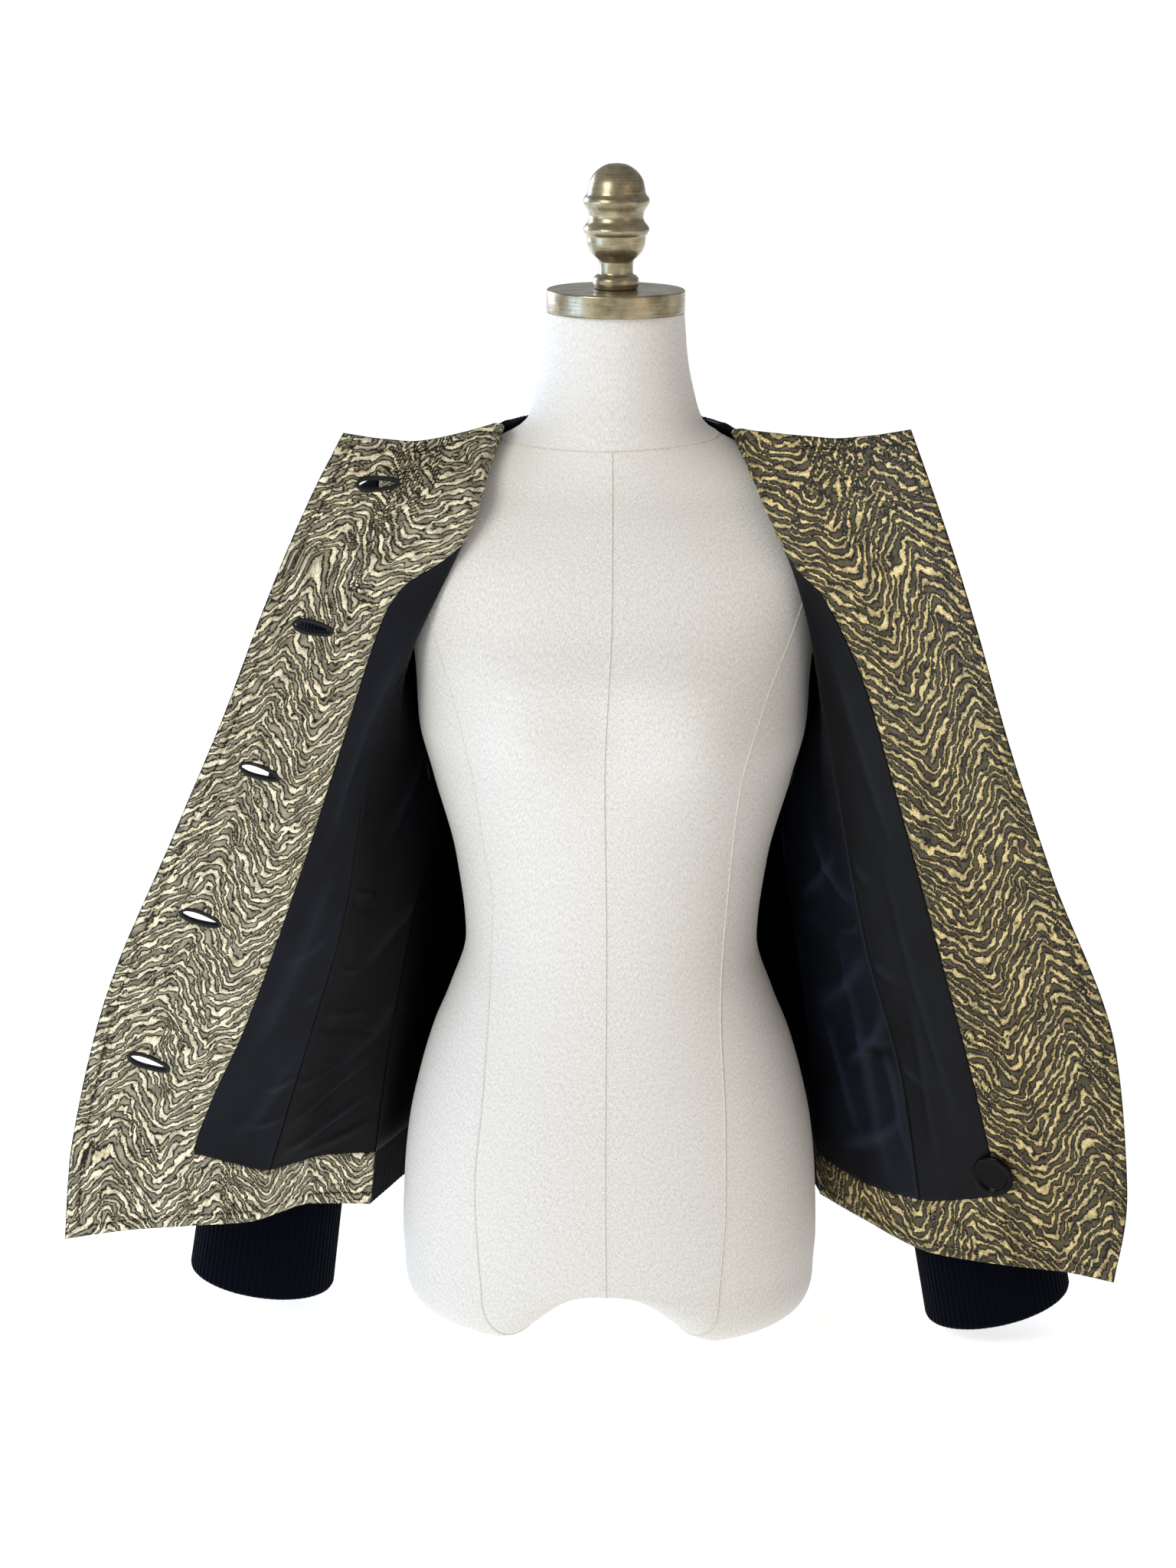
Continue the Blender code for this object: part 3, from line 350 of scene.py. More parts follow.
@dataclass
class FlatMap:
    """Where each point of a front lies on the flat cloth, in mm.

    The inner edge of the facing is the straight grain. From it, each small step across is split
    into a part along the wall's own lengthwise lines and a part square to them, and both are
    added up.
    """

    surface: Surface
    rows: np.ndarray = field(default_factory=lambda: np.linspace(0, ROW_NECK, 161))
    shares: np.ndarray = field(default_factory=lambda: np.linspace(0, 1, 101))
    straight: float = FRONT_SHARES["facing"]

    def __post_init__(self) -> None:
        """Add up the steps once."""
        points = self.surface.read(self.rows, self.shares)[0] / MM
        lengthwise = unit(np.gradient(points, axis=0))
        step = np.diff(points, axis=1)
        middle = unit(lengthwise[:, 1:] + lengthwise[:, :-1])
        along = np.einsum("ijk,ijk->ij", step, middle)
        across = np.sqrt(np.maximum((step**2).sum(axis=-1) - along**2, 0.0))
        start = int(round(self.straight * (len(self.shares) - 1)))
        seam = np.linalg.norm(np.diff(points[:, start], axis=0), axis=1)
        grain = np.concatenate([[0.0], np.cumsum(seam)])
        self.u = self._added(across, start)
        self.v = self._added(along, start) + grain[:, None]

    @staticmethod
    def _added(steps: np.ndarray, start: int) -> np.ndarray:
        """Running sums of steps, counted from the start column."""
        total = np.concatenate([np.zeros((len(steps), 1)), np.cumsum(steps, axis=1)], axis=1)
        return total - total[:, start:start + 1]

    def read(self, rows: np.ndarray | float, shares: np.ndarray | float) -> tuple[np.ndarray, np.ndarray]:
        """Flat u and v at a column of rows and a table of shares, or one of each."""
        places = rows / ROW_NECK * (len(self.rows) - 1), shares * (len(self.shares) - 1)
        return read_table(self.u, *places), read_table(self.v, *places)


@dataclass
class PuckerPattern:
    """Wavy, forking ridges that zigzag across the cloth, worked out as a field.

    Seeded noise is filtered to waves of nearly one pitch that run nearly across the cloth, which
    gives stripes that wander and fork. The stripes are then sheared up and down by a rounded,
    uneven zigzag, so that they stand in chevrons, and two softer noises sway them.
    """

    # Real pitch straight up the cloth, and slopes of the flank from valley to peak and of the others
    pitch: float = 9.0
    flanks: tuple = (1.35, 1.15)
    turn: float = 3.5
    pitch_spread: float = 0.25
    wander: float = 0.38
    # Amplitude in mm and fineness of the wide and of the narrow sway, and how soft their noise is
    sways: tuple = ((1.6, 0.5), (0.6, 2.3))
    softness: float = 9.0
    # How unevenly wide the ridges are, and how much wider or narrower than the ground
    swell: float = 0.12
    duty: float = -0.16
    seed: int = 7
    size_u: int = 512
    size_v: int = 1024

    def __post_init__(self) -> None:
        """Filter the noise once."""
        noise = np.random.default_rng(self.seed).standard_normal((3, self.size_v, self.size_u))
        middle = 1 / self.pitch
        fv = np.fft.fftfreq(self.size_v)[:, None]
        fu = np.fft.fftfreq(self.size_u)[None, :]
        band = np.exp(-((fv - middle) / (self.pitch_spread * middle)) ** 2 / 2
                      - (fu / (self.wander * middle)) ** 2 / 2)
        self.wave = np.fft.ifft2(np.fft.fft2(noise[0]) * band)
        soft = np.exp(-2 * self.softness**2 * (fv**2 + fu**2))
        blur = np.fft.ifft2(np.fft.fft2(noise[1:]) * soft).real
        self.soft_u, self.soft_v = blur / blur.std(axis=(1, 2), keepdims=True)

    def zigzag(self, u: np.ndarray, valley: float, peak: float) -> np.ndarray:
        """How high the chevrons' line stands at u: a zigzag blurred by a bell."""
        run = peak - valley
        period = run * (1 + self.flanks[0] / self.flanks[1])
        at = np.arange(1024) * period / 1024
        line = np.interp(at, (0.0, run, period), (0.0, self.flanks[0] * run, 0.0))
        bell = np.exp(-((np.minimum(at, period - at) / self.turn) ** 2))
        rounded = np.fft.ifft(np.fft.fft(line) * np.fft.fft(bell / bell.sum())).real
        return np.interp(u - valley, at, rounded, period=period)

    def ridge(self, u: np.ndarray, v: np.ndarray, valley: float, peak: float) -> np.ndarray:
        """How far a place is on a ridge: 1 on its crest, about 0 on its outline, -1 between ridges.

        Args:
            u, v: places on the flat cloth, in mm.
            valley: u of a line of V turns.
            peak: u of the next line of upturned V turns.

        Returns:
            The field, of the places' shape.
        """
        swayed_u, swayed_v = u.copy(), v.copy()
        for size, fineness in self.sways:
            swayed_u += size * read_table(self.soft_u, v * fineness + 57, u * fineness + 31, True)
            swayed_v += size * read_table(self.soft_v, v * fineness + 7, u * fineness + 11, True)
        wave = read_table(self.wave, swayed_v - self.zigzag(swayed_u, valley, peak), swayed_u, True)
        swell = self.swell * read_table(self.soft_u, v * 1.6, u * 1.6 + 90, True)
        return np.clip(np.cos(np.angle(wave)) + swell + self.duty, -1.0, 1.0)


def pucker_height(ridge: np.ndarray, crest: float = 1.4, ground: float = 0.7, outline: float = -0.13,
                  fullness: float = 0.6) -> np.ndarray:
    """Relief in mm: padded ridges and a lower ground that both sink to the outline between them."""
    level = ridge - outline
    return np.where(level > 0, crest, ground) * np.abs(level) ** fullness


def turned_edge(distance: np.ndarray, radius: float) -> np.ndarray:
    """A quarter round: 0 at the edge and 1 from the radius inwards."""
    t = np.clip(np.asarray(distance) / radius, 0.0, 1.0)
    return np.sqrt(np.maximum(1 - (1 - t) ** 2, 0.0))


def soft_folds(u: np.ndarray, v: np.ndarray, folds: Sequence[tuple]) -> np.ndarray:
    """Sum of soft creases, each a bell across its line that fades out towards both ends.

    Args:
        u, v: places on the cloth, in mm.
        folds: rows of (u and v of one end, u and v of the other, half width, height), in mm.

    Returns:
        The height in mm, positive for ridges.
    """
    total = np.zeros_like(u)
    for u0, v0, u1, v1, half, height in folds:
        run = math.hypot(u1 - u0, v1 - v0)
        along = ((u - u0) * (u1 - u0) + (v - v0) * (v1 - v0)) / run**2
        across = ((u - u0) * (v1 - v0) - (v - v0) * (u1 - u0)) / run
        across = across + half * 0.5 * np.sin(along * math.pi * 1.5)
        fade = np.exp(-((2 * along - 1) ** 4) * 1.5)
        total += height * np.exp(-(across / half) ** 2) * fade
    return total


def grid_quads(rows: int, columns: int, first: int, wrap: bool) -> np.ndarray:
    """Corner numbers of the cells of a grid of points that starts at a number."""
    across = np.arange(columns if wrap else columns - 1)
    row, column = np.meshgrid(np.arange(rows - 1), across, indexing="ij")
    a = first + row * columns + column
    b = first + row * columns + (column + 1) % columns
    return np.stack([a, b, b + columns, a + columns], axis=-1).reshape(-1, 4)


def side_strip(fine: np.ndarray, coarse: np.ndarray) -> np.ndarray:
    """Triangles between a line of points and a line with fewer, by the nearest place along."""
    step = (len(fine) - 1) // (len(coarse) - 1)
    nearest = np.minimum((np.arange(len(fine) - 1) + step // 2) // step, len(coarse) - 1)
    fans = np.stack([fine[:-1], fine[1:], coarse[nearest]], axis=-1)
    after = np.append(nearest[1:], len(coarse) - 1)
    jump = np.nonzero(after != nearest)[0]
    joins = np.stack([coarse[nearest[jump]], fine[jump + 1], coarse[after[jump]]], axis=-1)
    return np.concatenate([fans, joins])


def closed_wall(face: np.ndarray, reverse: np.ndarray, wrap: bool = False) -> tuple[np.ndarray, list]:
    """A closed wall between a fine face and a plainer reverse.

    Args:
        face: grid of points, rows by columns.
        reverse: the same columns, at every so many of the face's rows, the last one included.
        wrap: whether the columns go all round.

    Returns:
        Points, and arrays of quads and triangles whose corners are numbers of points.
    """
    rows, columns = face.shape[:2]
    back_rows = len(reverse)
    points = np.concatenate([face.reshape(-1, 3), reverse.reshape(-1, 3)])
    start = rows * columns
    near = np.arange(start).reshape(rows, columns)
    far = start + np.arange(back_rows * columns).reshape(back_rows, columns)
    quads = [grid_quads(rows, columns, 0, wrap), grid_quads(back_rows, columns, start, wrap)[:, ::-1]]
    here = np.arange(columns if wrap else columns - 1)
    on = (here + 1) % columns
    quads.append(np.stack([near[0, on], near[0, here], far[0, here], far[0, on]], axis=-1))
    quads.append(np.stack([near[-1, here], near[-1, on], far[-1, on], far[-1, here]], axis=-1))
    triangles = []
    if not wrap:
        triangles.append(side_strip(near[:, 0], far[:, 0]))
        triangles.append(side_strip(near[:, -1], far[:, -1])[:, ::-1])
    return points, [np.concatenate(quads), *triangles]


def signed_volume(points: np.ndarray, faces: Sequence[np.ndarray]) -> float:
    """Volume inside the faces, negative if they point in: a sixth of the sum of a . (b x c)."""
    total = 0.0
    for group in faces:
        for last in range(2, group.shape[1]):
            a, b, c = points[group[:, 0]], points[group[:, last - 1]], points[group[:, last]]
            total += float((a * np.cross(b, c)).sum()) / 6
    return total


def linear_colour(code: str) -> tuple[float, float, float, float]:
    """The linear colour of an sRGB hex value."""
    parts = [int(code[place:place + 2], 16) / 255 for place in (1, 3, 5)]
    return (*[part / 12.92 if part <= 0.04045 else ((part + 0.055) / 1.055) ** 2.4 for part in parts], 1.0)


class Shader:
    """A Principled material in the making. Its methods add a node each and return its output."""

    def __init__(self, name: str) -> None:
        """Start from Blender's own new material."""
        self.material = bpy.data.materials.new(name)
        self.material.use_nodes = True
        self.tree = self.material.node_tree

    def feed(self, node: bpy.types.Node, inputs: dict) -> None:
        """Give inputs, by name or number, their values or links from other nodes' outputs."""
        for name, value in inputs.items():
            if isinstance(value, bpy.types.NodeSocket):
                self.tree.links.new(value, node.inputs[name])
            else:
                node.inputs[name].default_value = value

    def node(self, kind: str, inputs: dict, output: str | int = 0, **settings) -> bpy.types.NodeSocket:
        """Add a node.

        Args:
            kind: the node's type name after ShaderNode.
            inputs: what feed takes.
            output: name or number of the output wanted.
            settings: the node's own properties.

        Returns:
            That output.
        """
        node = self.tree.nodes.new(f"ShaderNode{kind}")
        for name, value in settings.items():
            setattr(node, name, value)
        self.feed(node, inputs)
        return node.outputs[output]

    def attribute(self, name: str, output: str = "Vector") -> bpy.types.NodeSocket:
        """A field kept on the mesh."""
        return self.node("Attribute", {}, output, attribute_name=name)

    def maths(self, operation: str, *values) -> bpy.types.NodeSocket:
        """A Math node over numbers and outputs."""
        return self.node("Math", dict(enumerate(values)), operation=operation)

    def mapped(self, place: bpy.types.NodeSocket, scale: tuple, turn: float = 0.0) -> bpy.types.NodeSocket:
        """A place scaled, and turned by degrees in its plane."""
        return self.node("Mapping", {"Vector": place, "Scale": scale, "Rotation": (0, 0, math.radians(turn))})

    def noise(self, place: bpy.types.NodeSocket, scale: float, detail: float, roughness: float = 0.5,
              dimensions: str = "2D") -> bpy.types.NodeSocket:
        """Noise with its scale to the place's own unit."""
        values = {"Vector": place, "Scale": scale, "Detail": detail, "Roughness": roughness}
        return self.node("TexNoise", values, "Fac", noise_dimensions=dimensions)

    def ramp(self, value: bpy.types.NodeSocket, *stops: tuple) -> bpy.types.NodeSocket:
        """A colour ramp through stops, each a place and a hex colour or a grey level."""
        node = self.tree.nodes.new("ShaderNodeValToRGB")
        for place, _ in stops[2:]:
            node.color_ramp.elements.new(place)
        for element, (place, tone) in zip(node.color_ramp.elements, stops):
            element.position = place
            element.color = linear_colour(tone) if isinstance(tone, str) else (tone, tone, tone, 1.0)
        self.feed(node, {"Fac": value})
        return node.outputs["Color"]

    def mixed(self, share: object, first: object, second: object, blend: str = "MIX") -> bpy.types.NodeSocket:
        """Two colours mixed or blended."""
        return self.node("Mix", {0: share, 6: first, 7: second}, 2, data_type="RGBA", blend_type=blend)

    def spread(self, value: bpy.types.NodeSocket, source: tuple, target: tuple) -> bpy.types.NodeSocket:
        """A value taken from one range to another."""
        return self.node("MapRange", {"Value": value, "From Min": source[0], "From Max": source[1],
                                      "To Min": target[0], "To Max": target[1]})

    def bump(self, height: bpy.types.NodeSocket, strength: float, distance: float) -> bpy.types.NodeSocket:
        """Normals from a height whose full depth is a distance in mm."""
        return self.node("Bump", {"Height": height, "Strength": strength, "Distance": distance * MM})

    def finish(self, inputs: dict) -> bpy.types.Material:
        """Feed the Principled shader and hand over the material."""
        self.feed(self.tree.nodes["Principled BSDF"], inputs)
        return self.material


@dataclass(frozen=True)
class Jacquard:
    """Matelasse jacquard, woven with flat metal thread and puckered by a shrunk backing.

    The eye sees padded gold ridges with a dark, stitched-looking outline on a duller ground, a painted
    highlight on the ridges' crests, and painted glints on single threads.
    """

    name: str
    dull_gold: str
    gold: str
    # Colour of the painted highlight on the ridges' crests
    painted_crest_highlight: str
    ground: str
    low_ground: str
    outline: str = "#050402"
    # Colour of the painted glints on single threads
    painted_glint: str = "#FFE9A3"
    thread: float = 0.75
    slub: float = 11.0

    def material(self) -> bpy.types.Material:
        """Read the ridge field and the flat cloth, both kept on the mesh."""
        shader = Shader(self.name)
        cloth = shader.attribute("cloth")
        flat = shader.mapped(cloth, (0.55, 1.0, 1.0))
        thread = shader.noise(flat, 1 / self.thread, 2.0, 0.7)
        ragged = shader.maths("MULTIPLY_ADD", thread, 1.2, -0.6)
        place = shader.maths("ADD", shader.attribute("ridge", "Fac"), ragged)
        level = shader.maths("MULTIPLY_ADD", place, 0.5, 0.5)
        # The top stop paints a highlight on the ridges' crests.
        colour = shader.ramp(level, (0.08, self.ground), (0.2, self.low_ground), (0.26, self.outline),
                             (0.56, self.outline), (0.62, self.dull_gold), (0.71, self.gold),
                             (0.9, self.painted_crest_highlight))
        slub = shader.ramp(shader.noise(cloth, 1 / self.slub, 3.0), (0.32, 0.48), (0.62, 1.0))
        grain = shader.ramp(thread, (0.3, 0.62), (0.68, 1.2))
        woven = shader.mixed(1.0, shader.mixed(1.0, colour, slub, "MULTIPLY"), grain, "MULTIPLY")
        # Painted glints: sparse light specks, stronger the higher up a ridge, mixed into the base colour.
        speck = shader.node("TexVoronoi", {"Vector": flat, "Scale": 1 / self.thread}, "Color",
                            voronoi_dimensions="2D")
        lucky = shader.maths("GREATER_THAN", speck, 0.8)
        painted_glint_share = shader.maths("MULTIPLY", shader.maths("MULTIPLY", lucky, level), 0.45)
        height = shader.maths("SMOOTH_MAX", thread, lucky, 0.2)
        return shader.finish({
            "Base Color": shader.mixed(painted_glint_share, woven, linear_colour(self.painted_glint)),
            "Metallic": shader.ramp(level, (0.1, 0.2), (0.25, 0.0), (0.57, 0.0), (0.66, 0.45)),
            "Normal": shader.bump(height, 0.55, 0.25),
            "Roughness": 0.5,
            "Specular IOR Level": 0.25,
        })


@dataclass(frozen=True)
class Satin:
    """Acetate lining satin: nearly black, smooth along its floats, with a soft wide sheen."""

    name: str
    colour: str
    lift: str
    # Colour of the painted sheen on the creases' crests
    crest: str
    twill: float = 0.9
    cloud: float = 45.0

    def material(self) -> bpy.types.Material:
        """Fine slanting floats, a faint cloudiness, painted sheen on the creases' crests and along the seam
        roll, and painted shade in their troughs and at the panels' edges.
        """
        shader = Shader(self.name)
        cloth = shader.attribute("cloth")
        floats = shader.noise(shader.mapped(cloth, (1.0, 0.18, 1.0), 38), 1 / self.twill, 1.0)
        base = shader.maths("MULTIPLY_ADD", shader.noise(cloth, 1 / self.cloud, 2.0), 0.4, 0.2)
        # The crease field paints light: sheen on crests and along the seam roll, and shade in troughs and at
        # the edges, down to black.
        tone = shader.maths("MULTIPLY_ADD", shader.attribute("crease", "Fac"), 0.36, base)
        return shader.finish({
            "Base Color": shader.ramp(tone, (0.08, 0.0), (0.34, self.colour), (0.5, self.lift),
                                      (0.95, self.crest)),
            "Normal": shader.bump(floats, 0.25, 0.1),
            "Roughness": shader.spread(floats, (0.0, 1.0), (0.36, 0.5)),
            "Specular IOR Level": 0.12,
        })


@dataclass(frozen=True)
class RibKnit:
    """Wool rib knit: matt black, with a bloom of fibre ends and rows of small stitches."""

    name: str
    colour: str = "#02040A"
    lift: str = "#080C16"
    stitch: float = 1.1

    def material(self) -> bpy.types.Material:
        """Stitch rows across each rib; the ribs themselves are in the mesh."""
        shader = Shader(self.name)
        cloth = shader.attribute("cloth")
        rows = shader.node("TexWave", {"Vector": cloth, "Scale": math.tau / (self.stitch * 40),
                                       "Distortion": 1.2, "Detail": 1.0, "Detail Scale": 2.0},
                           "Fac", bands_direction="Y")
        both = shader.maths("MULTIPLY", rows, shader.noise(cloth, 1.2, 3.0))
        return shader.finish({
            "Base Color": shader.ramp(both, (0.1, self.colour), (0.6, self.lift)),
            "Normal": shader.bump(both, 0.6, 0.3),
            "Roughness": 0.95,
            "Specular IOR Level": 0.03,
            "Sheen Weight": 0.07,
            "Sheen Roughness": 0.4,
        })


@dataclass(frozen=True)
class Linen:
    """Bleached linen canvas, glued tight: a plain weave with uneven threads and a few dark slubs."""

    name: str
    colour: str = "#D6D6D2"
    shade: str = "#BEBCB7"
    fleck: str = "#9A9184"
    thread: float = 0.6

    def material(self) -> bpy.types.Material:
        """Threads of both ways as stretched noise, and rare slubs."""
        shader = Shader(self.name)
        cloth = shader.attribute("cloth")
        threads = [shader.noise(shader.mapped(cloth, scale), 1 / self.thread, 1.0)
                   for scale in ((1.0, 0.2, 1.0), (0.24, 1.0, 1.0))]
        weave = shader.maths("ADD", *threads)
        colour = shader.ramp(shader.maths("MULTIPLY", weave, 0.5), (0.4, self.shade), (0.58, self.colour))
        spots = shader.noise(shader.mapped(cloth, (0.35, 0.9, 1.0)), 0.5, 4.0, 0.65)
        rare = shader.spread(spots, (0.72, 0.8), (0.0, 0.6))
        return shader.finish({
            "Base Color": shader.mixed(rare, colour, linear_colour(self.fleck)),
            "Normal": shader.bump(weave, 0.35, 0.2),
            "Roughness": 0.85,
            "Sheen Weight": 0.08,
        })


@dataclass(frozen=True)
class AgedBrass:
    """Cast brass, turned, chemically darkened and lacquered: olive brown with brushed streaks."""

    name: str
    colour: str = "#9C9377"
    dark: str = "#6B6047"

    def material(self) -> bpy.types.Material:
        """Streaks round the turning axis, dark cloudy patina and small pits."""
        shader = Shader(self.name)
        place = shader.node("TexCoord", {}, "Object")
        lines = shader.noise(shader.mapped(place, (60.0, 60.0, 900.0)), 1.0, 2.0, dimensions="3D")
        cloud = shader.noise(place, 55.0, 5.0, 0.62, "3D")
        patina = shader.node("Mix", {0: 0.7, 2: lines, 3: cloud})
        return shader.finish({
            "Base Color": shader.ramp(patina, (0.38, self.dark), (0.6, self.colour)),
            "Roughness": shader.spread(patina, (0.3, 0.7), (0.42, 0.26)),
            "Normal": shader.bump(lines, 0.05, 0.1),
            "Metallic": 0.85,
            "Coat Weight": 0.4,
            "Coat Roughness": 0.12,
        })


@dataclass(frozen=True)
class Horn:
    """Black horn, turned and buffed: deep black with a soft gloss and faint clouds."""

    name: str
    colour: str = "#020203"
    cloud: str = "#080807"

    def material(self) -> bpy.types.Material:
        """Grain of about 4 mm, in colour and gloss."""
        shader = Shader(self.name)
        grain = shader.noise(shader.node("TexCoord", {}, "Object"), 260.0, 3.0, dimensions="3D")
        return shader.finish({
            "Base Color": shader.ramp(grain, (0.4, self.colour), (0.75, self.cloud)),
            "Roughness": shader.spread(grain, (0.0, 1.0), (0.16, 0.26)),
            "Specular IOR Level": 0.1,
        })


@dataclass(frozen=True)
class CordBinding:
    """Rolled bias binding of black satin: matt cord with a slanting twist."""

    name: str
    colour: str = "#08090D"
    lift: str = "#181A20"

    def material(self) -> bpy.types.Material:
        """A twist about 1.2 mm long, as bump and a slight lightening."""
        shader = Shader(self.name)
        place = shader.node("TexCoord", {}, "Object")
        twist = shader.node("TexWave", {"Vector": place, "Scale": 260.0, "Distortion": 1.5}, "Fac",
                            bands_direction="DIAGONAL")
        return shader.finish({
            "Base Color": shader.ramp(twist, (0.3, self.colour), (1.0, self.lift)),
            "Normal": shader.bump(twist, 0.4, 0.2),
            "Roughness": 0.6,
            "Specular IOR Level": 0.3,
        })


@dataclass(frozen=True)
class Finishes:
    """Every finish of the jacket and its form."""

    # Lit and shaded copies of one jacquard and of one satin: painted light and painted shade
    jacquard_lit_copy: bpy.types.Material
    jacquard_shaded_copy: bpy.types.Material
    satin_lit_copy: bpy.types.Material
    satin_shaded_copy: bpy.types.Material
    rib: bpy.types.Material
    linen: bpy.types.Material
    seam: bpy.types.Material
    brass: bpy.types.Material
    horn: bpy.types.Material
    binding: bpy.types.Material

    @classmethod
    def mixed(cls) -> Finishes:
        """Make the materials. The jacquard is one cloth in a painted lit copy and a painted shaded copy, and
        so is the lining satin.
        """
        return cls(*[finish.material() for finish in (
            # One jacquard: the pale copy paints light, the deep copy paints shade
            Jacquard("jacquard_gold_painted_lit", "#A0987C", "#E0D9B7", "#FDF9E2", "#A3A08C", "#63604D"),
            Jacquard("jacquard_gold_painted_shade", "#75663F", "#AB9866", "#D6C48F", "#544D38", "#302B1F"),
            # One satin: the navy copy paints light, the black copy paints shade
            Satin("satin_lining_painted_lit", "#05070D", "#0B0F1A", "#191E2A"),
            Satin("satin_lining_painted_shade", "#020306", "#05070B", "#11141B"),
            RibKnit("rib_knit_black"),
            Linen("linen_canvas_ivory"),
            Linen("linen_seam_ivory", "#D8D5CE", "#B2ADA3"),
            AgedBrass("brass_darkened_lacquered"),
            Horn("horn_black_buffed"),
            CordBinding("binding_satin_cord"),
        )])


def make_piece(name: str, points: np.ndarray, faces: Sequence[np.ndarray], material: bpy.types.Material,
               fields: dict[str, np.ndarray] | None = None, sharp: float = 55.0) -> bpy.types.Object:
    """An object of a closed mesh, with its faces turned out and its fields kept on its points.

    Args:
        name: the piece's name.
        points: points in metres.
        faces: arrays of quads and of triangles.
        material: its finish.
        fields: name to one number, or to two in mm, for each point.
        sharp: edges that turn by more degrees than this aren't smoothed over.

    Returns:
        The linked object.
    """
    if signed_volume(points, faces) < 0:
        faces = [group[:, ::-1] for group in faces]
    points = points + TO_MIDDLE
    corners = np.concatenate([group.ravel() for group in faces]).astype(np.int32)
    sizes = np.concatenate([np.full(len(group), group.shape[1]) for group in faces])
    mesh = bpy.data.meshes.new(name)
    mesh.vertices.add(len(points))
    mesh.vertices.foreach_set("co", points.astype(np.float32).ravel())
    mesh.loops.add(len(corners))
    mesh.loops.foreach_set("vertex_index", corners)
    mesh.polygons.add(len(sizes))
    starts = np.concatenate([[0], np.cumsum(sizes)[:-1]]).astype(np.int32)
    mesh.polygons.foreach_set("loop_start", starts)
    mesh.update(calc_edges=True)
    for key, values in (fields or {}).items():
        if values.ndim == 1:
            layer = mesh.attributes.new(key, "FLOAT", "POINT")
            layer.data.foreach_set("value", values.astype(np.float32))
        else:
            layer = mesh.attributes.new(key, "FLOAT_VECTOR", "POINT")
            full = np.column_stack([values, np.zeros(len(values))])
            layer.data.foreach_set("vector", full.astype(np.float32).ravel())
    mesh.materials.append(material)
    mesh.shade_smooth()
    mesh.set_sharp_from_angle(angle=math.radians(sharp))
    item = bpy.data.objects.new(name, mesh)
    bpy.context.scene.collection.objects.link(item)
    return item


def dress(item: bpy.types.Object, slot: str, *nodes: str) -> bpy.types.Object:
    """Let a finished piece ride on the body and stand for its solids."""
    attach(item, BODY)
    if nodes:
        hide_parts(*nodes)
    stands_for = ", ".join(nodes) or "nothing"
    LOG.info("%s: %d faces, stands for %s", item.name, len(item.data.polygons), stands_for)
    return item


def declare_cloth(plain: np.ndarray, wrap: bool) -> None:
    """Take a sheet's plain surface and close it round if it wraps; nothing more is done with it.

    Args:
        plain: grid of points of the surface without its relief.
        wrap: whether the columns go all round.
    """
    if wrap:
        plain = np.concatenate([plain, plain[:, :1]], axis=1)


def cloth_piece(name: str, wall: tuple[np.ndarray, np.ndarray], heights: np.ndarray,
                reverse: np.ndarray | float, step: int, flat: tuple[np.ndarray, np.ndarray],
                material: bpy.types.Material, rests_on: Sequence[str], wrap: bool = False,
                sharp: float = 55.0, **marks: np.ndarray) -> bpy.types.Object:
    """A closed wall of cloth from a fine visible face to a plainer reverse.

    Args:
        name: the piece's name.
        wall: grid of points of its surface, and the ways off it.
        heights: how far off the surface the face lies, in mm.
        reverse: the same for the reverse.
        step: one row in so many is kept on the reverse.
        flat: u and v of each point on the flat cloth, in mm.
        material: its finish.
        rests_on: not used.
        wrap: whether the columns go all round.
        sharp: as make_piece takes it.
        marks: further fields, with one number for each point of the grid.

    Returns:
        The piece.
    """
    points, ways = wall
    face = points + ways * (heights * MM)[..., None]
    back = points + ways * (np.broadcast_to(reverse, heights.shape) * MM)[..., None]
    solid, faces = closed_wall(face, back[::step], wrap)
    fields = {}
    for key, grid in {"cloth": np.stack(flat, axis=-1), **marks}.items():
        both = (grid.reshape(-1, *grid.shape[2:]), grid[::step].reshape(-1, *grid.shape[2:]))
        fields[key] = np.concatenate(both)
    item = make_piece(name, solid, faces, material, fields, sharp)
    declare_cloth(points, wrap)
    return item


def capped_rings(rings: np.ndarray, tips: Sequence) -> tuple[np.ndarray, list]:
    """A solid of closed rings, with a fan to a tip at each end.

    Args:
        rings: grid of points, rings by sides.
        tips: the points beyond the first and the last ring.

    Returns:
        Points, and arrays of quads and triangles.
    """
    count, sides = rings.shape[:2]
    here = np.arange(sides)
    on = (here + 1) % sides
    end = (count - 1) * sides
    fans = np.concatenate([np.stack([on, here, np.full(sides, count * sides)], axis=-1),
                           np.stack([end + here, end + on, np.full(sides, count * sides + 1)], axis=-1)])
    points = np.concatenate([rings.reshape(-1, 3), np.reshape(tips, (2, 3))])
    return points, [grid_quads(count, sides, 0, True), fans]


def turned_body(outline: np.ndarray, sides: int, matrix: np.ndarray) -> tuple[np.ndarray, list]:
    """A solid turned round its own Z axis.

    Args:
        outline: (radius, height) from the top of the axis to its bottom, in metres.
        sides: how many faces go round.
        matrix: where it stands.

    Returns:
        Points, and arrays of quads and triangles.
    """
    angle = math.tau * np.arange(sides) / sides
    radius, height = outline[1:-1, :1], outline[1:-1, 1:]
    level = np.repeat(height, sides, axis=1)
    rings = np.stack([radius * np.cos(angle), radius * np.sin(angle), level], axis=-1)
    points, faces = capped_rings(rings, [(0, 0, outline[0, 1]), (0, 0, outline[-1, 1])])
    return points @ matrix[:3, :3].T + matrix[:3, 3], faces


def rounded_outline(outline: Sequence[tuple[float, float]], steps: int) -> np.ndarray:
    """A smooth outline through (radius, height) points in mm, at even steps between them, in metres."""
    knots = np.arange(len(outline))
    return smooth_between(knots, np.array(outline, float), np.linspace(0, knots[-1], steps)) * MM


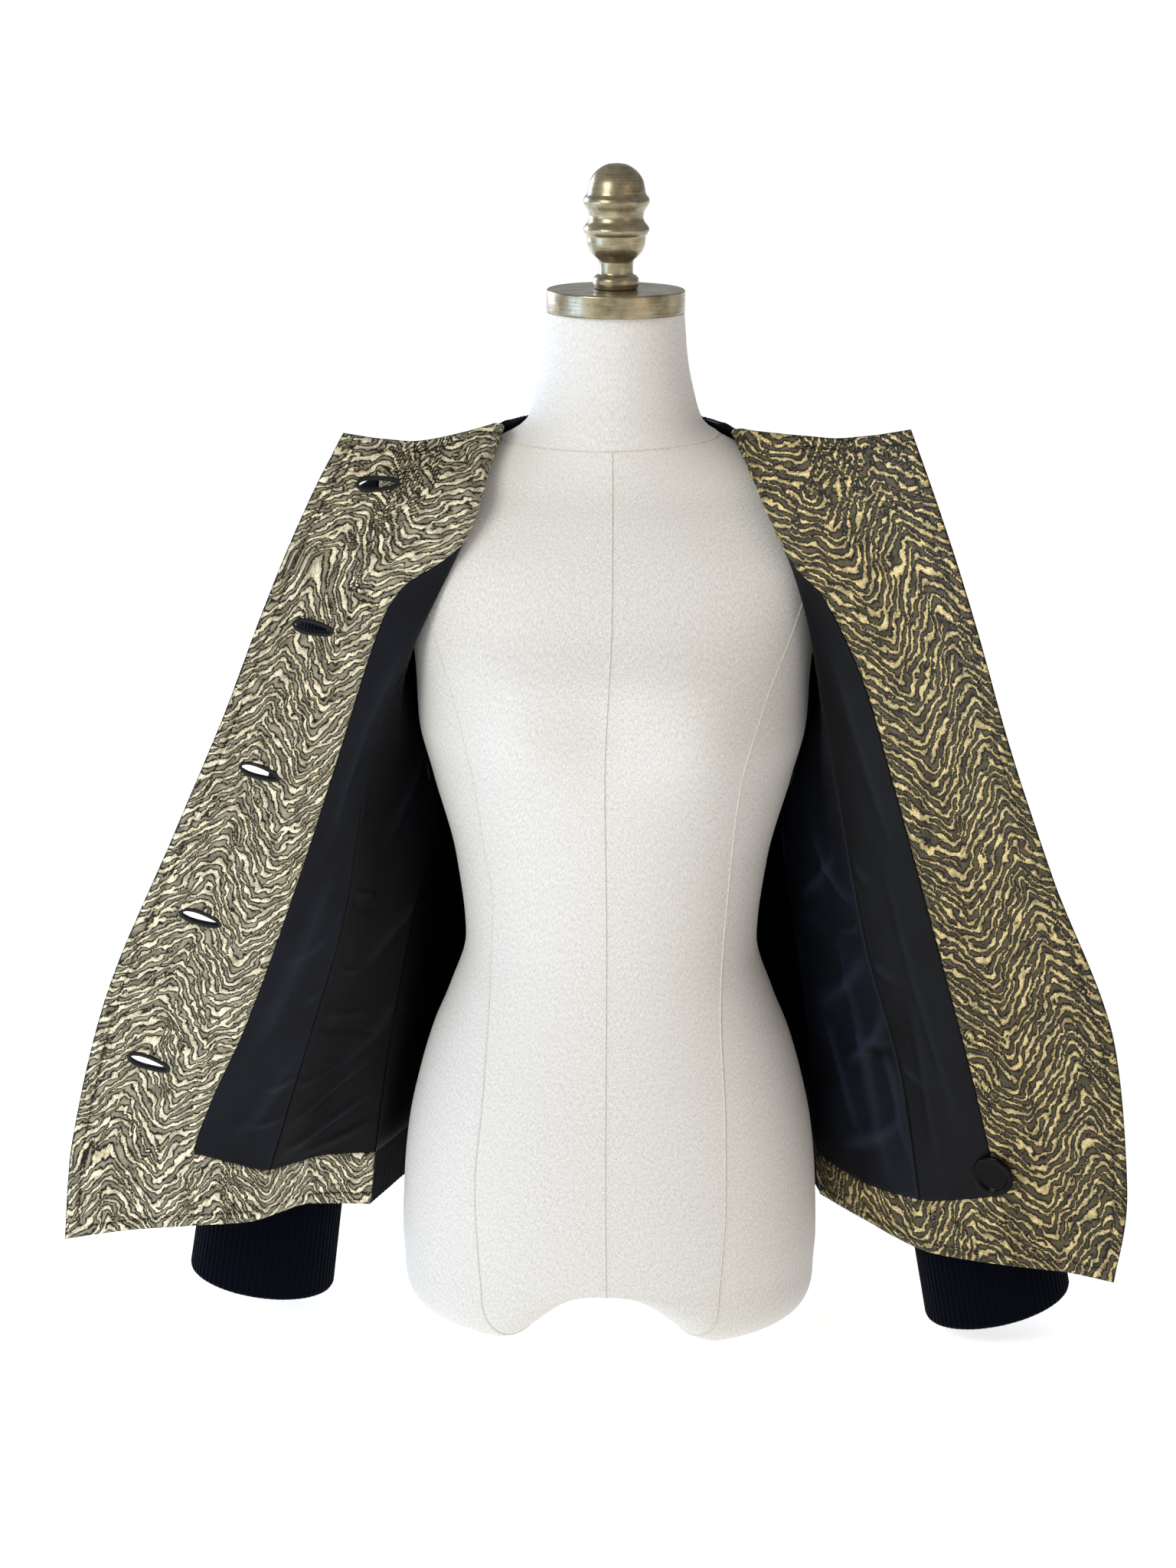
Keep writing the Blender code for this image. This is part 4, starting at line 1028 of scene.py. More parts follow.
def swept_cord(path: np.ndarray, ups: np.ndarray, profile: np.ndarray,
               closed: bool) -> tuple[np.ndarray, list]:
    """A profile carried along a path.

    Args:
        path: points along the path.
        ups: the profile's upward way at each.
        profile: closed loop of (across, up) points.
        closed: whether the path meets itself; otherwise both ends are capped by fans.

    Returns:
        Points, and arrays of quads and triangles.
    """
    forward = np.roll(path, -1, axis=0) - np.roll(path, 1, axis=0) if closed else np.gradient(path, axis=0)
    across = unit(np.cross(forward, ups))
    rings = path[:, None] + across[:, None] * profile[:, :1] + ups[:, None] * profile[:, 1:]
    if not closed:
        return capped_rings(rings, path[[0, -1]])
    count, sides = rings.shape[:2]
    return rings.reshape(-1, 3), [grid_quads(count + 1, sides, 0, True) % (count * sides)]


def superellipse(angle: np.ndarray, power: float | np.ndarray) -> tuple[np.ndarray, np.ndarray]:
    """Signed powers of the cosine and the sine of an angle."""
    turn = np.cos(angle), np.sin(angle)
    return tuple(np.sign(value) * np.abs(value) ** power for value in turn)


def placing(x: Sequence, y: Sequence, z: Sequence, place: Sequence) -> np.ndarray:
    """The matrix of three ways and a place."""
    matrix = np.eye(4)
    matrix[:3] = np.column_stack([x, y, z, place])
    return matrix


def form_section(heights: np.ndarray) -> np.ndarray:
    """Half width, depths in front and behind and squareness of the form, each at all heights in mm."""
    table = np.array(FORM_SECTIONS, float)
    return smooth_between(table[:, 0], table[:, 1:], heights).T


@dataclass
class DressForm:
    """The limbless form: a linen skin on a torso with two rounded thighs, seams, and its metal top."""

    finishes: Finishes
    sides: int = 160
    levels: int = 150
    lobe_rings: int = 26
    inset: float = 0.9
    # Distances from the middle at which the saddle between the thighs ends and the full depth begins
    saddle: tuple = (4.0, 88.0)
    saddle_depth: float = 4.0
    lobe_depth: float = 64.0
    lobe_round: tuple = (2.2, 3.0)
    # Swell of each breast and hollow between them: depth, distance from the middle, half width
    bust: tuple = ((8.0, 74.0, 34.0), (-3.5, 0.0, 28.0))
    bust_height: tuple = (504.0, 46.0)
    seam_half_width: float = 0.85
    seam_rise: float = 0.65
    # Seam round the neck: its height, and how much higher it lies behind and at the wearer's left
    neck_seam: tuple = (713.5, 5.5, 2.0)
    # Cross ways of the torso by which a seam's outward way is judged, and of the neck
    torso_half: tuple = (160, 90)
    neck_half: tuple = (84, 57)
    cap_radius: float = 51.5
    cap_thickness: float = 17.0
    cap_rounding: float = 1.6
    # Middle seams in front and behind: (height, x)
    front_middle: tuple = ((708, 0), (587, 2), (473, -2), (349, -1), (160, 0), (56, 1))
    back_middle: tuple = ((708, 0), (300, 0), (56, 0))
    # Princess seams in front: (height, x) from the shoulder to the thigh
    princess: dict = field(default_factory=lambda: {
        Side.RIGHT: ((650, -150), (586, -135), (534, -117), (476, -102), (410, -94), (365, -88), (301, -90),
                     (213, -95), (139, -101), (86, -99), (56, -97)),
        Side.LEFT: ((650, 155), (591, 140), (526, 115), (467, 99), (381, 91), (288, 86), (194, 91), (125, 92),
                    (86, 90), (56, 88)),
    })
    back_princess: tuple = ((650, 120), (560, 102), (455, 86), (330, 74), (208, 88), (100, 98), (56, 97))

    def bust_depth(self, x: np.ndarray, z: np.ndarray) -> np.ndarray:
        """How far the front swells at a place: bells across, times a bell up and down."""
        middle, half = self.bust_height
        across = sum(depth * np.exp(-(((np.abs(x) - place) / width) ** 2))
                     for depth, place, width in self.bust)
        return across * np.exp(-(((z - middle) / half) ** 2))

    def ring(self, heights: np.ndarray, angles: np.ndarray) -> np.ndarray:
        """Closed sections: x and y are signed powers of the cosine and sine, times half width and depth."""
        half, front, back, square = form_section(heights)[:, :, None]
        x, y = superellipse(angles[None], 2 / square)
        depth = np.where(y < 0, front, back) - self.inset
        x, y = x * (half - self.inset), y * depth
        z = np.broadcast_to(heights[:, None], x.shape)
        y = y - self.bust_depth(x, z) * np.clip(-y / depth, 0.0, 1.0)
        return np.stack([x, y, z], axis=-1)

    def lobe_height(self, x: np.ndarray, y: np.ndarray, share: np.ndarray) -> np.ndarray:
        """Underside: two rounded thighs with a saddle between them, cut flat where they stand.

        The depth under the rim rises smoothly from the saddle's to the thigh's, times
        (1 - share ^ n) ^ (1 / n). The share is 1 at the rim, and n is larger at the sides.
        """
        sideways = x**2 / np.maximum(x**2 + y**2, 1e-9)
        n = self.lobe_round[0] + (self.lobe_round[1] - self.lobe_round[0]) * sideways
        depth = smooth_step(*self.saddle, np.abs(x))
        depth = self.saddle_depth + (self.lobe_depth - self.saddle_depth) * depth
        return np.maximum(FORM_SECTIONS[0][0] - depth * (1 - share**n) ** (1 / n), 0.05)

    def cloth_place(self, grid: np.ndarray) -> np.ndarray:
        """How far each point lies round from the front middle, to either side, and up the form."""
        front = 3 * self.sides // 4
        turned = np.roll(grid, -front, axis=1)
        steps = np.linalg.norm(np.roll(turned, -1, axis=1) - turned, axis=2)
        run = np.cumsum(steps, axis=1) - steps
        around = np.roll(np.minimum(run, run[:, -1:] + steps[:, -1:] - run), front, axis=1)
        rises = np.linalg.norm(np.diff(grid, axis=0), axis=2)
        up = np.concatenate([np.zeros((1, self.sides)), np.cumsum(rises, axis=0)])
        return np.stack([around, up], axis=-1).reshape(-1, 2)

    def build_skin(self) -> None:
        """The linen skin as one closed surface, with the cloth's place kept in mm."""
        low, high = FORM_SECTIONS[0][0], FORM_SECTIONS[-1][0]
        angles = math.tau * np.arange(self.sides) / self.sides
        wall = self.ring(np.linspace(low, high, self.levels), angles)
        shares = np.cos(np.radians(np.linspace(87, 3, self.lobe_rings))) ** (2 / self.lobe_round[0])
        lobes = wall[0] * np.stack([shares, shares, np.ones_like(shares)], axis=-1)[:, None]
        lobes[..., 2] = self.lobe_height(lobes[..., 0], lobes[..., 1], shares[:, None])
        grid = np.concatenate([lobes, wall])
        points, faces = capped_rings(grid, [(0, 0, low - self.saddle_depth), (0, 0, high)])
        cloth = np.concatenate([self.cloth_place(grid), [(0, 0), (0, high)]])
        item = make_piece("linen_form", points * MM, faces, self.finishes.linen, {"cloth": cloth})
        dress(item, "linen", "dress_form")

    def seam_line(self, marks: Sequence[tuple[float, float]], behind: bool) -> tuple[np.ndarray, np.ndarray]:
        """A seam down the form through (height, x) marks, then over the thigh's end.

        The depth at a place is the section's: (1 - (x / half) ^ squareness) ^ (1 / squareness).
        """
        marks = np.array(marks, float)
        heights = np.linspace(marks[0, 0], marks[-1, 0], 130)
        order = np.argsort(marks[:, 0])
        x = smooth_between(marks[order, 0], marks[order, 1], heights)
        half, front, back, square = form_section(heights)
        depth = back - self.inset if behind else self.inset - front
        half = half - self.inset
        share = np.clip(1 - np.abs(x / half) ** square, 0, 1) ** (1 / square)
        swell = 0.0 if behind else self.bust_depth(x, heights) * share
        path = np.stack([x, depth * share - swell, heights], axis=-1)
        shares = np.cos(np.radians(np.linspace(3, 66, 40))) ** (2 / self.lobe_round[0])
        tail = np.stack([x[-1] * shares, path[-1, 1] * shares, np.zeros(40)], axis=-1)
        tail[:, 2] = self.lobe_height(tail[:, 0], tail[:, 1], shares)
        path = np.concatenate([path, tail])
        wide, deep = self.torso_half
        level = np.stack([path[:, 0] / wide, path[:, 1] / deep, np.zeros(len(path))], axis=-1)
        out = unit(np.cross(np.cross((0.0, 0.0, 1.0), level), np.gradient(path, axis=0)))
        return path, out * np.sign((out * level).sum())

    def build_seams(self) -> None:
        """Raised seams: front and back middles, four princess lines and the ring round the neck."""
        angle = math.tau * np.arange(8) / 8
        profile = np.stack([np.cos(angle) * self.seam_half_width, np.sin(angle) * self.seam_rise], axis=-1)
        mirrored = [tuple((height, side * x) for height, x in self.back_princess) for side in (-1, 1)]
        lines = [(self.front_middle, False), (self.back_middle, True)]
        lines += [(marks, False) for marks in self.princess.values()] + [(marks, True) for marks in mirrored]
        parts = [swept_cord(*self.seam_line(marks, behind), profile, False) for marks, behind in lines]
        steps = np.arange(200)
        turn = math.tau * steps / len(steps)
        middle, rise, tilt = self.neck_seam
        path = self.ring(middle + rise * np.sin(turn) + tilt * np.cos(turn), turn)[steps, steps]
        wide, deep = self.neck_half
        out = unit(path * (1 / wide, 1 / deep, 0) + (0, 0, 0.8))
        parts.append(swept_cord(path, out, profile * 0.8, True))
        points, faces, start = [], [], 0
        for part_points, part_faces in parts:
            points.append(part_points)
            faces += [group + start for group in part_faces]
            start += len(part_points)
        points = np.concatenate(points)
        cloth = np.column_stack([points[:, 0] * 2.0, points[:, 2]])
        item = make_piece("linen_seams", points * MM, faces, self.finishes.seam, {"cloth": cloth})
        dress(item, "linen")

    def build_top(self) -> None:
        """The thick disc with its rounded rims, and the turned finial on it."""
        base = FORM_SECTIONS[-1][0] + GAP
        radius, tall, edge = self.cap_radius, self.cap_thickness, self.cap_rounding
        turn = np.linspace(0, math.pi / 2, 8)
        upper = np.stack([radius - edge + edge * np.sin(turn), tall - edge + edge * np.cos(turn)], axis=-1)
        lower = np.stack([radius - edge + edge * np.cos(turn), edge - edge * np.sin(turn)], axis=-1)
        outline = np.concatenate([[(0, tall), (radius * 0.5, tall), (radius - 4, tall)], upper, lower,
                                  [(radius - 4, 0), (0, 0)]]) * MM
        place = np.eye(4)
        place[2, 3] = base * MM
        item = make_piece("brass_cap", *turned_body(outline, 128, place), self.finishes.brass)
        dress(item, "old_brass", "neck_cap")
        finial = ((0, 92), (6, 91.4), (12, 88.6), (16.8, 84.3), (20, 78.6), (21.2, 73), (21.8, 69.8),
                  (24.0, 66.8), (24.6, 64.5), (23.6, 61.8), (20.8, 57.2), (20.0, 53.2), (20.9, 49.6),
                  (23.6, 46.2), (24.5, 43.9), (23.4, 41.2), (21.8, 38.8), (21.6, 34.5), (20.2, 29.6),
                  (17.2, 25.0), (13.4, 21.4), (12.7, 19.5), (12.6, 15), (12.8, 11.4), (15.0, 10.0),
                  (16.9, 7.6), (17.2, 4.6), (16.5, 1.9), (15.4, 0.3), (0, 0.3))
        place[2, 3] = (base + tall) * MM
        item = make_piece("brass_finial", *turned_body(rounded_outline(finial, 110), 80, place),
                          self.finishes.brass)
        dress(item, "old_brass", "finial")

    def build(self) -> None:
        """Make the form."""
        self.build_skin()
        self.build_seams()
        self.build_top()


@dataclass
class JacketCut:
    """The surfaces that the jacket's walls lie on, at the solids' own points."""

    armhole: Armhole = field(default_factory=Armhole)
    middle_bow: float = 5.0
    lift: float = 6.9
    lift_from_row: float = 6.2

    def __post_init__(self) -> None:
        """Work out the three surfaces and mitre them where they meet."""
        rows = np.array(CAD_ROWS)
        points = {side: self.front_points(side, rows) for side in Side}
        ways = {side: self.inward(points[side]) for side in Side}
        back = self.back_points(rows)
        back_ways = self.inward(back)
        below = rows <= ROW_UNDERARM
        seam = CAD_COLUMNS.index(FRONT_SHARES["seam"]) + 1
        for side, column in ((Side.RIGHT, 0), (Side.LEFT, -1)):
            shared = self.mitre(ways[side][below, 0], back_ways[below, column])
            ways[side][below, 0] = shared
            back_ways[below, column] = shared
            ways[side][-1, :seam] = self.upright_mitre(ways[side][-1, :seam])
        shoulder = np.abs(np.array(CAD_BACK_COLUMNS) - 0.5) >= 0.5 - BACK_SHARES["inner"]
        back_ways[-1, shoulder] = self.upright_mitre(back_ways[-1, shoulder])
        self.fronts = {side: Surface(points[side], ways[side], CAD_ROWS, CAD_COLUMNS) for side in Side}
        self.back = Surface(back, back_ways, CAD_ROWS, CAD_BACK_COLUMNS)

    def form_height(self, x: np.ndarray, y: np.ndarray) -> np.ndarray:
        """Height in metres of the form's shoulders over places of the plan, in metres."""
        levels = np.linspace(560, 760, 81)
        half, front, back, square = form_section(levels)[:, :, None]
        depth = np.where(y < 0, front, back) * MM
        reach = (np.abs(x) / (half * MM)) ** square + (np.abs(y) / depth) ** square
        count = (reach <= 1.0).sum(axis=0)
        last = np.clip(count - 1, 0, len(levels) - 2)
        column = np.arange(len(x))
        below, above = reach[last, column], reach[last + 1, column]
        step = np.clip((1 - below) / np.maximum(above - below, 1e-6), 0, 1)
        return np.where(count > 0, levels[last] + step * (levels[1] - levels[0]), 0.0) * MM

    def lifted(self, points: np.ndarray, rows: np.ndarray) -> np.ndarray:
        """Points above the armholes' middle, lifted clear of the form."""
        high = rows > self.lift_from_row
        upper = points[high]
        floor = self.form_height(upper[..., 0].ravel(), upper[..., 1].ravel()).reshape(upper.shape[:-1])
        upper[..., 2] = np.maximum(upper[..., 2], floor + self.lift * MM)
        points[high] = upper
        return points

    def front_points(self, side: Side, rows: np.ndarray) -> np.ndarray:
        """A front: smooth lines up through its sections, then smooth lines across them."""
        sections = []
        for section in FRONT_SECTIONS[side.word]:
            named = dict(zip(FRONT_COLUMNS, section))
            facing, edge = np.array(named["facing"], float), np.array(named["edge"], float)
            middle = (facing + edge) / 2 + (0.0, self.middle_bow, named["dip"])
            sections.append([named["under"], named["seam"], facing, middle, edge])
        lines = smooth_between(range(len(sections)), np.array(sections, float) * MM, rows)
        lines = np.concatenate([self.armhole.side_line(side, rows, False)[:, None], lines], axis=1)
        points = smooth_between(list(FRONT_SHARES.values()), np.swapaxes(lines, 0, 1), np.array(CAD_COLUMNS))
        return self.lifted(np.swapaxes(points, 0, 1).copy(), rows)

    def back_points(self, rows: np.ndarray) -> np.ndarray:
        """The back, from the wearer's right side seam to the left one."""
        sections = []
        for *half, centre in BACK_SECTIONS:
            half = np.array(half, float)
            sections.append([*half * (-1, 1, 1), np.array(centre, float), *half[::-1]])
        lines = smooth_between(range(len(sections)), np.array(sections) * MM, rows)
        ends = [self.armhole.side_line(side, rows, True)[:, None] for side in (Side.RIGHT, Side.LEFT)]
        lines = np.concatenate([ends[0], lines, ends[1]], axis=1)
        shares = list(BACK_SHARES.values())
        shares += [1 - share for share in reversed(shares[:-1])]
        points = smooth_between(shares, np.swapaxes(lines, 0, 1), np.array(CAD_BACK_COLUMNS))
        return self.lifted(np.swapaxes(points, 0, 1).copy(), rows)

    @staticmethod
    def inward(points: np.ndarray) -> np.ndarray:
        """Grid normals that point to the form's side."""
        normals = grid_normals(points)
        middle = len(points) // 3
        inside = np.array([0.0, 0.0, points[middle, 0, 2]])
        towards = float(normals[middle, 0] @ (inside - points[middle, 0]))
        return normals if towards > 0 else -normals

    @staticmethod
    def mitre(first: np.ndarray, second: np.ndarray) -> np.ndarray:
        """Ways shared by two walls that meet at a corner."""
        return (first + second) / (1.0 + np.einsum("ij,ij->i", first, second))[:, None]

    @staticmethod
    def upright_mitre(ways: np.ndarray) -> np.ndarray:
        """Ways that end a wall in an upright plane across the shoulder."""
        flat = ways * (1, 0, 1)
        return flat / (flat**2).sum(axis=-1, keepdims=True)


@dataclass
class OpenFront:
    """One front of the jacket: shell, facing, hem facing and two lining panels.

    Heights off the surface are in mm, positive to the inside. Every visible face starts at the
    base height along its turned edges.
    """

    cut: JacketCut
    side: Side
    finishes: Finishes
    pattern: PuckerPattern
    valley: float
    peak: float
    jacquard: bpy.types.Material
    front_satin: bpy.types.Material
    side_satin: bpy.types.Material
    folds: tuple
    fold_width: float = 0.72
    fine: float = 1.15
    coarse: float = 2.0
    lining_pitch: float = 2.4
    # Cells across the front lining and the side lining
    lining_cells: tuple = (24, 46)
    # Rows between which the facing widens at the neck to its share there, and the linings' upper end
    roll_rows: tuple = (6.2, 7.1)
    neck_share: float = 0.3
    lining_top: float = 7.0
    ends: tuple = (0.0, 0.3, 0.8, 1.5, 2.4)
    lining_ends: tuple = (0.0, 0.6, 1.6)
    reverse_step: int = 8
    base: float = 0.35
    # Radii of turned edges: free ones, sewn ones, the shell's inner one and the linings'
    free_lip: float = 1.7
    sewn_lip: float = 1.2
    inner_lip: float = 1.5
    lining_lip: float = 1.6
    # Stitches inside: how far in from a free edge, how far they flatten the puckers, and their depth
    stitches_in: float = 9.5
    stitches_flatten: float = 0.6
    stitches_depth: float = 0.25
    # Princess seam outside: half width, how far it flattens the puckers, and its depth
    seam_groove: tuple = (1.6, 0.8, 0.5)
    # Stitches outside: how far in from an edge, half width and depth
    edge_groove: tuple = (9.0, 1.1, 0.35)
    # Linings: height of their plain cloth, how far wrinkles stand up, and the roll along their seams, which
    # also paints a sheen along them
    satin_base: float = 0.45
    wrinkle_height: float = 1.3
    satin_roll: float = 0.4
    # How far a wall's reverse lies off the surface
    reverse: float = 0.05
    # Rows of the flat map along which the cells of a whole front and of its hem are counted out
    counted_rows: tuple = (60, 4)
    # Where the outside reads the pattern, so that it doesn't repeat the inside: u, and u and v of a panel
    outside_offset: float = 190.0
    panel_offset: tuple = (60.0, 40.0)

    def __post_init__(self) -> None:
        """Read the surface and its flat map."""
        self.surface = self.cut.fronts[self.side]
        self.flat = FlatMap(self.surface)
        self.shell_name = f"jacquard_front_{self.side.word}"

    def facing_edge(self, rows: np.ndarray) -> np.ndarray:
        """Share at which the facing ends; above the roll it widens into the neck facing."""
        share = FRONT_SHARES["facing"]
        return share - (share - self.neck_share) * smooth_step(*self.roll_rows, rows)

    def whole_rows(self, first: float, last: float, pitch: float) -> np.ndarray:
        """Rows between two rows at an even real pitch along the middle of the facing."""
        middle = round((FRONT_SHARES["facing"] + 0.2) * (len(self.flat.shares) - 1))
        grain = self.flat.v[:, middle]
        low, high = np.interp([first, last], self.flat.rows, grain)
        steps = edge_steps(high - low, pitch, self.ends, self.reverse_step)
        return np.interp(low + steps * (high - low), grain, self.flat.rows)

    def edges(self, rows: np.ndarray, shares: np.ndarray, last: float, left: np.ndarray | float,
              right: np.ndarray | float, first: float = 0.0) -> tuple[np.ndarray, ...]:
        """Distances on the flat cloth to the edges of a piece.

        Args:
            rows: the piece's rows, as a column.
            shares: its shares at each row.
            last: the row of its top edge.
            left, right: its shares at both sides, as columns.
            first: the row of its bottom edge.

        Returns:
            Distances in mm to the bottom, the top, the inner and the outer edge.
        """
        u, v = self.flat.read(rows, shares)
        low, high = self.flat.read(first, shares)[1], self.flat.read(last, shares)[1]
        inner, outer = self.flat.read(rows, left)[0], self.flat.read(rows, right)[0]
        return v - low, high - v, u - inner, outer - u

    def piece(self, name: str, node: str, slot: str, rows: np.ndarray, shares: np.ndarray,
              heights: np.ndarray, reverse: float, material: bpy.types.Material, rests_on: str,
              **marks: np.ndarray) -> bpy.types.Object:
        """A wall on this front, dressed as a solid's stand-in; its side is added to both names."""
        item = cloth_piece(f"{name}_{self.side.word}", self.surface.read(rows[:, 0], shares), heights,
                           reverse, self.reverse_step, self.flat.read(rows, shares), material, [rests_on],
                           **marks)
        return dress(item, slot, f"{node}_{self.side.word}")

    def row_steps(self, row: int, last: int, pitch: float) -> np.ndarray:
        """Shares at an even real pitch along a row of the flat map, from its start to a column."""
        u = self.flat.u[row] - self.flat.u[row, 0]
        return np.interp(edge_steps(u[last], pitch, self.ends) * u[last], u, self.flat.shares)

    def shell(self) -> bpy.types.Object:
        """The outer cloth, puckered on the outside, with a princess seam and turned edges."""
        rows = self.whole_rows(0.0, ROW_NECK, self.coarse)[:, None]
        line = self.row_steps(self.counted_rows[0], -1, self.coarse)
        shares = np.broadcast_to(line, (len(rows), len(line)))
        bottom, top, inner, outer = self.edges(rows, shares, ROW_NECK, 0.0, 1.0)
        u, v = self.flat.read(rows, shares)
        seam_u = self.flat.read(rows, FRONT_SHARES["seam"])[0]
        panel, offset = u < seam_u, self.outside_offset
        ridge = self.pattern.ridge(u + offset + self.panel_offset[0] * panel,
                                   v + self.panel_offset[1] * panel,
                                   self.valley + offset, self.peak + offset)
        near = np.minimum(np.minimum(bottom, top), outer)
        seam_half, flattened, seam_depth = self.seam_groove
        edge_in, edge_half, edge_depth = self.edge_groove
        seam = np.exp(-((u - seam_u) / seam_half) ** 2)
        relief = pucker_height(ridge) * smooth_step(0.5, 4.0, near) * smooth_step(0.5, 3.0, inner)
        relief = relief * (1 - flattened * seam) - seam_depth * seam
        relief = relief - edge_depth * np.exp(-((near - edge_in) / edge_half) ** 2)
        lip = turned_edge(near, self.free_lip) * (0.4 + 0.6 * turned_edge(inner, self.inner_lip))
        heights = -(self.base + (SHELL - 0.55) * lip + relief)
        return self.piece("jacquard_front", "front", "jacquard", rows, shares, heights, -self.reverse,
                          self.jacquard, "linen_form", ridge=ridge)

    def turned_band(self, name: str, node: str, rows: np.ndarray, shares: np.ndarray, free: np.ndarray,
                    sewn: Sequence[tuple]) -> bpy.types.Object:
        """A band of puckered cloth on the inside, with a line of stitches along its free edge.

        Args:
            name, node: names of the piece and of its solid, without the side.
            rows, shares: its grid.
            free: distances to its free edge.
            sewn: for each sewn edge, where the puckers begin and are full, and the distances to it.

        Returns:
            The piece.
        """
        u, v = self.flat.read(rows, shares)
        ridge = self.pattern.ridge(u, v, self.valley, self.peak)
        relief = pucker_height(ridge) * smooth_step(0.3, 3.5, free)
        for begin, full, distance in sewn:
            relief = relief * smooth_step(begin, full, distance)
        stitched = np.exp(-((free - self.stitches_in) ** 2))
        puckered = 1 - self.stitches_flatten * stitched
        relief = relief * puckered - self.stitches_depth * stitched
        ridge = ridge * puckered * smooth_step(-0.6, 1.4, free)
        nearest = np.minimum.reduce([distance for *_, distance in sewn])
        lip = turned_edge(free, self.free_lip) * (0.45 + 0.55 * turned_edge(nearest, self.sewn_lip))
        heights = self.base + (GAP + FACING - 0.75) * lip + relief
        return self.piece(name, node, "jacquard", rows, shares, heights, self.reverse, self.jacquard,
                          self.shell_name, ridge=ridge)

    def facing(self) -> bpy.types.Object:
        """The facing, from the hem to the neckline and round to the shoulder."""
        rows = self.whole_rows(0.0, ROW_NECK, self.fine)[:, None]
        left = self.facing_edge(rows)
        across = float(self.flat.u[self.counted_rows[0], -1])
        shares = left + (1 - left) * edge_steps(across, self.fine, self.ends)
        bottom, top, inner, outer = self.edges(rows, shares, ROW_NECK, left, 1.0)
        free = np.minimum(np.minimum(bottom, top), outer)
        return self.turned_band("jacquard_facing", "facing", rows, shares, free, [(0.2, 2.5, inner)])

    def hem_facing(self) -> None:
        """The hem's turned-up band, of the facing's cloth, from the side seam to the facing."""
        rows = self.whole_rows(0.0, ROW_HEM_FACING, self.fine)[:, None]
        right = FRONT_SHARES["facing"]
        last = round(right * (len(self.flat.shares) - 1))
        line = self.row_steps(self.counted_rows[1], last, self.fine)
        shares = np.broadcast_to(line * right / line[-1], (len(rows), len(line)))
        bottom, top, inner, outer = self.edges(rows, shares, ROW_HEM_FACING, 0.0, right)
        self.turned_band("jacquard_hem", "hem_facing", rows, shares, bottom,
                         [(0.2, 2.0, top), (0.2, 2.0, inner), (0.0, 1.5, outer)])

    def lining(self, name: str, left: np.ndarray, right: np.ndarray, rows: np.ndarray, cells: int,
               material: bpy.types.Material) -> None:
        """A lining panel between two lines, with soft wrinkles and seams that sink at its edges.

        Args:
            name: the panel's name without the side.
            left, right: its shares at both sides, as columns.
            rows: its rows, as a column.
            cells: how many cells of even width it has across.
            material: its finish.
        """
        steps = edge_steps(cells * self.lining_pitch, self.lining_pitch, self.lining_ends)
        shares = left + (right - left) * steps
        bottom, top, inner, outer = self.edges(rows, shares, self.lining_top, left, right, ROW_HEM_FACING)
        near = np.minimum(np.minimum(bottom, np.maximum(top, 4.0)), np.minimum(inner, outer))
        folds = [(*ends, half * self.fold_width, height) for *ends, half, height in self.folds]
        wrinkles = soft_folds(*self.flat.read(rows, shares), folds) * smooth_step(0.5, 6.0, near)
        lip = np.exp(-(((near - 1.8) / 1.0) ** 2))
        full = GAP + LINING - self.satin_base
        heights = self.satin_base + full * turned_edge(near, self.lining_lip)
        heights = heights + wrinkles * self.wrinkle_height + self.satin_roll * lip
        # Painted light kept on the mesh: sheen on the wrinkles' crests and the seam roll, shade in their
        # troughs and at the panel's edges.
        crease = wrinkles / 2 + self.satin_roll * lip - 0.5 * (1 - smooth_step(0.0, 0.9, near))
        self.piece(f"satin_{name}", name, "satin", rows, shares, np.maximum(heights, self.base),
                   self.reverse, material, self.shell_name, crease=crease)

    def linings(self) -> None:
        """The panel beside the facing and the side panel, both up to the roll."""
        rows = self.whole_rows(ROW_HEM_FACING, self.lining_top, self.lining_pitch)[:, None]
        share = FRONT_SHARES["seam"]
        seam = share - (share - self.neck_share) * smooth_step(ROW_UNDERARM, ROW_UNDERARM + 0.5, rows)
        beside, under = self.lining_cells
        self.lining("front_lining", seam, self.facing_edge(rows), rows, beside, self.front_satin)
        self.lining("side_lining", np.zeros_like(rows), seam, rows, under, self.side_satin)

    def build(self) -> tuple[bpy.types.Object, bpy.types.Object]:
        """Make the front; returns its shell and its facing."""
        shell, facing = self.shell(), self.facing()
        self.hem_facing()
        self.linings()
        return shell, facing


def rib_relief(places: np.ndarray) -> np.ndarray:
    """Round ribs, one for each whole number, from the valleys at 0 to the crests at 1."""
    return np.sqrt(0.5 - 0.5 * np.cos(places * math.tau) + 0.02)[None]


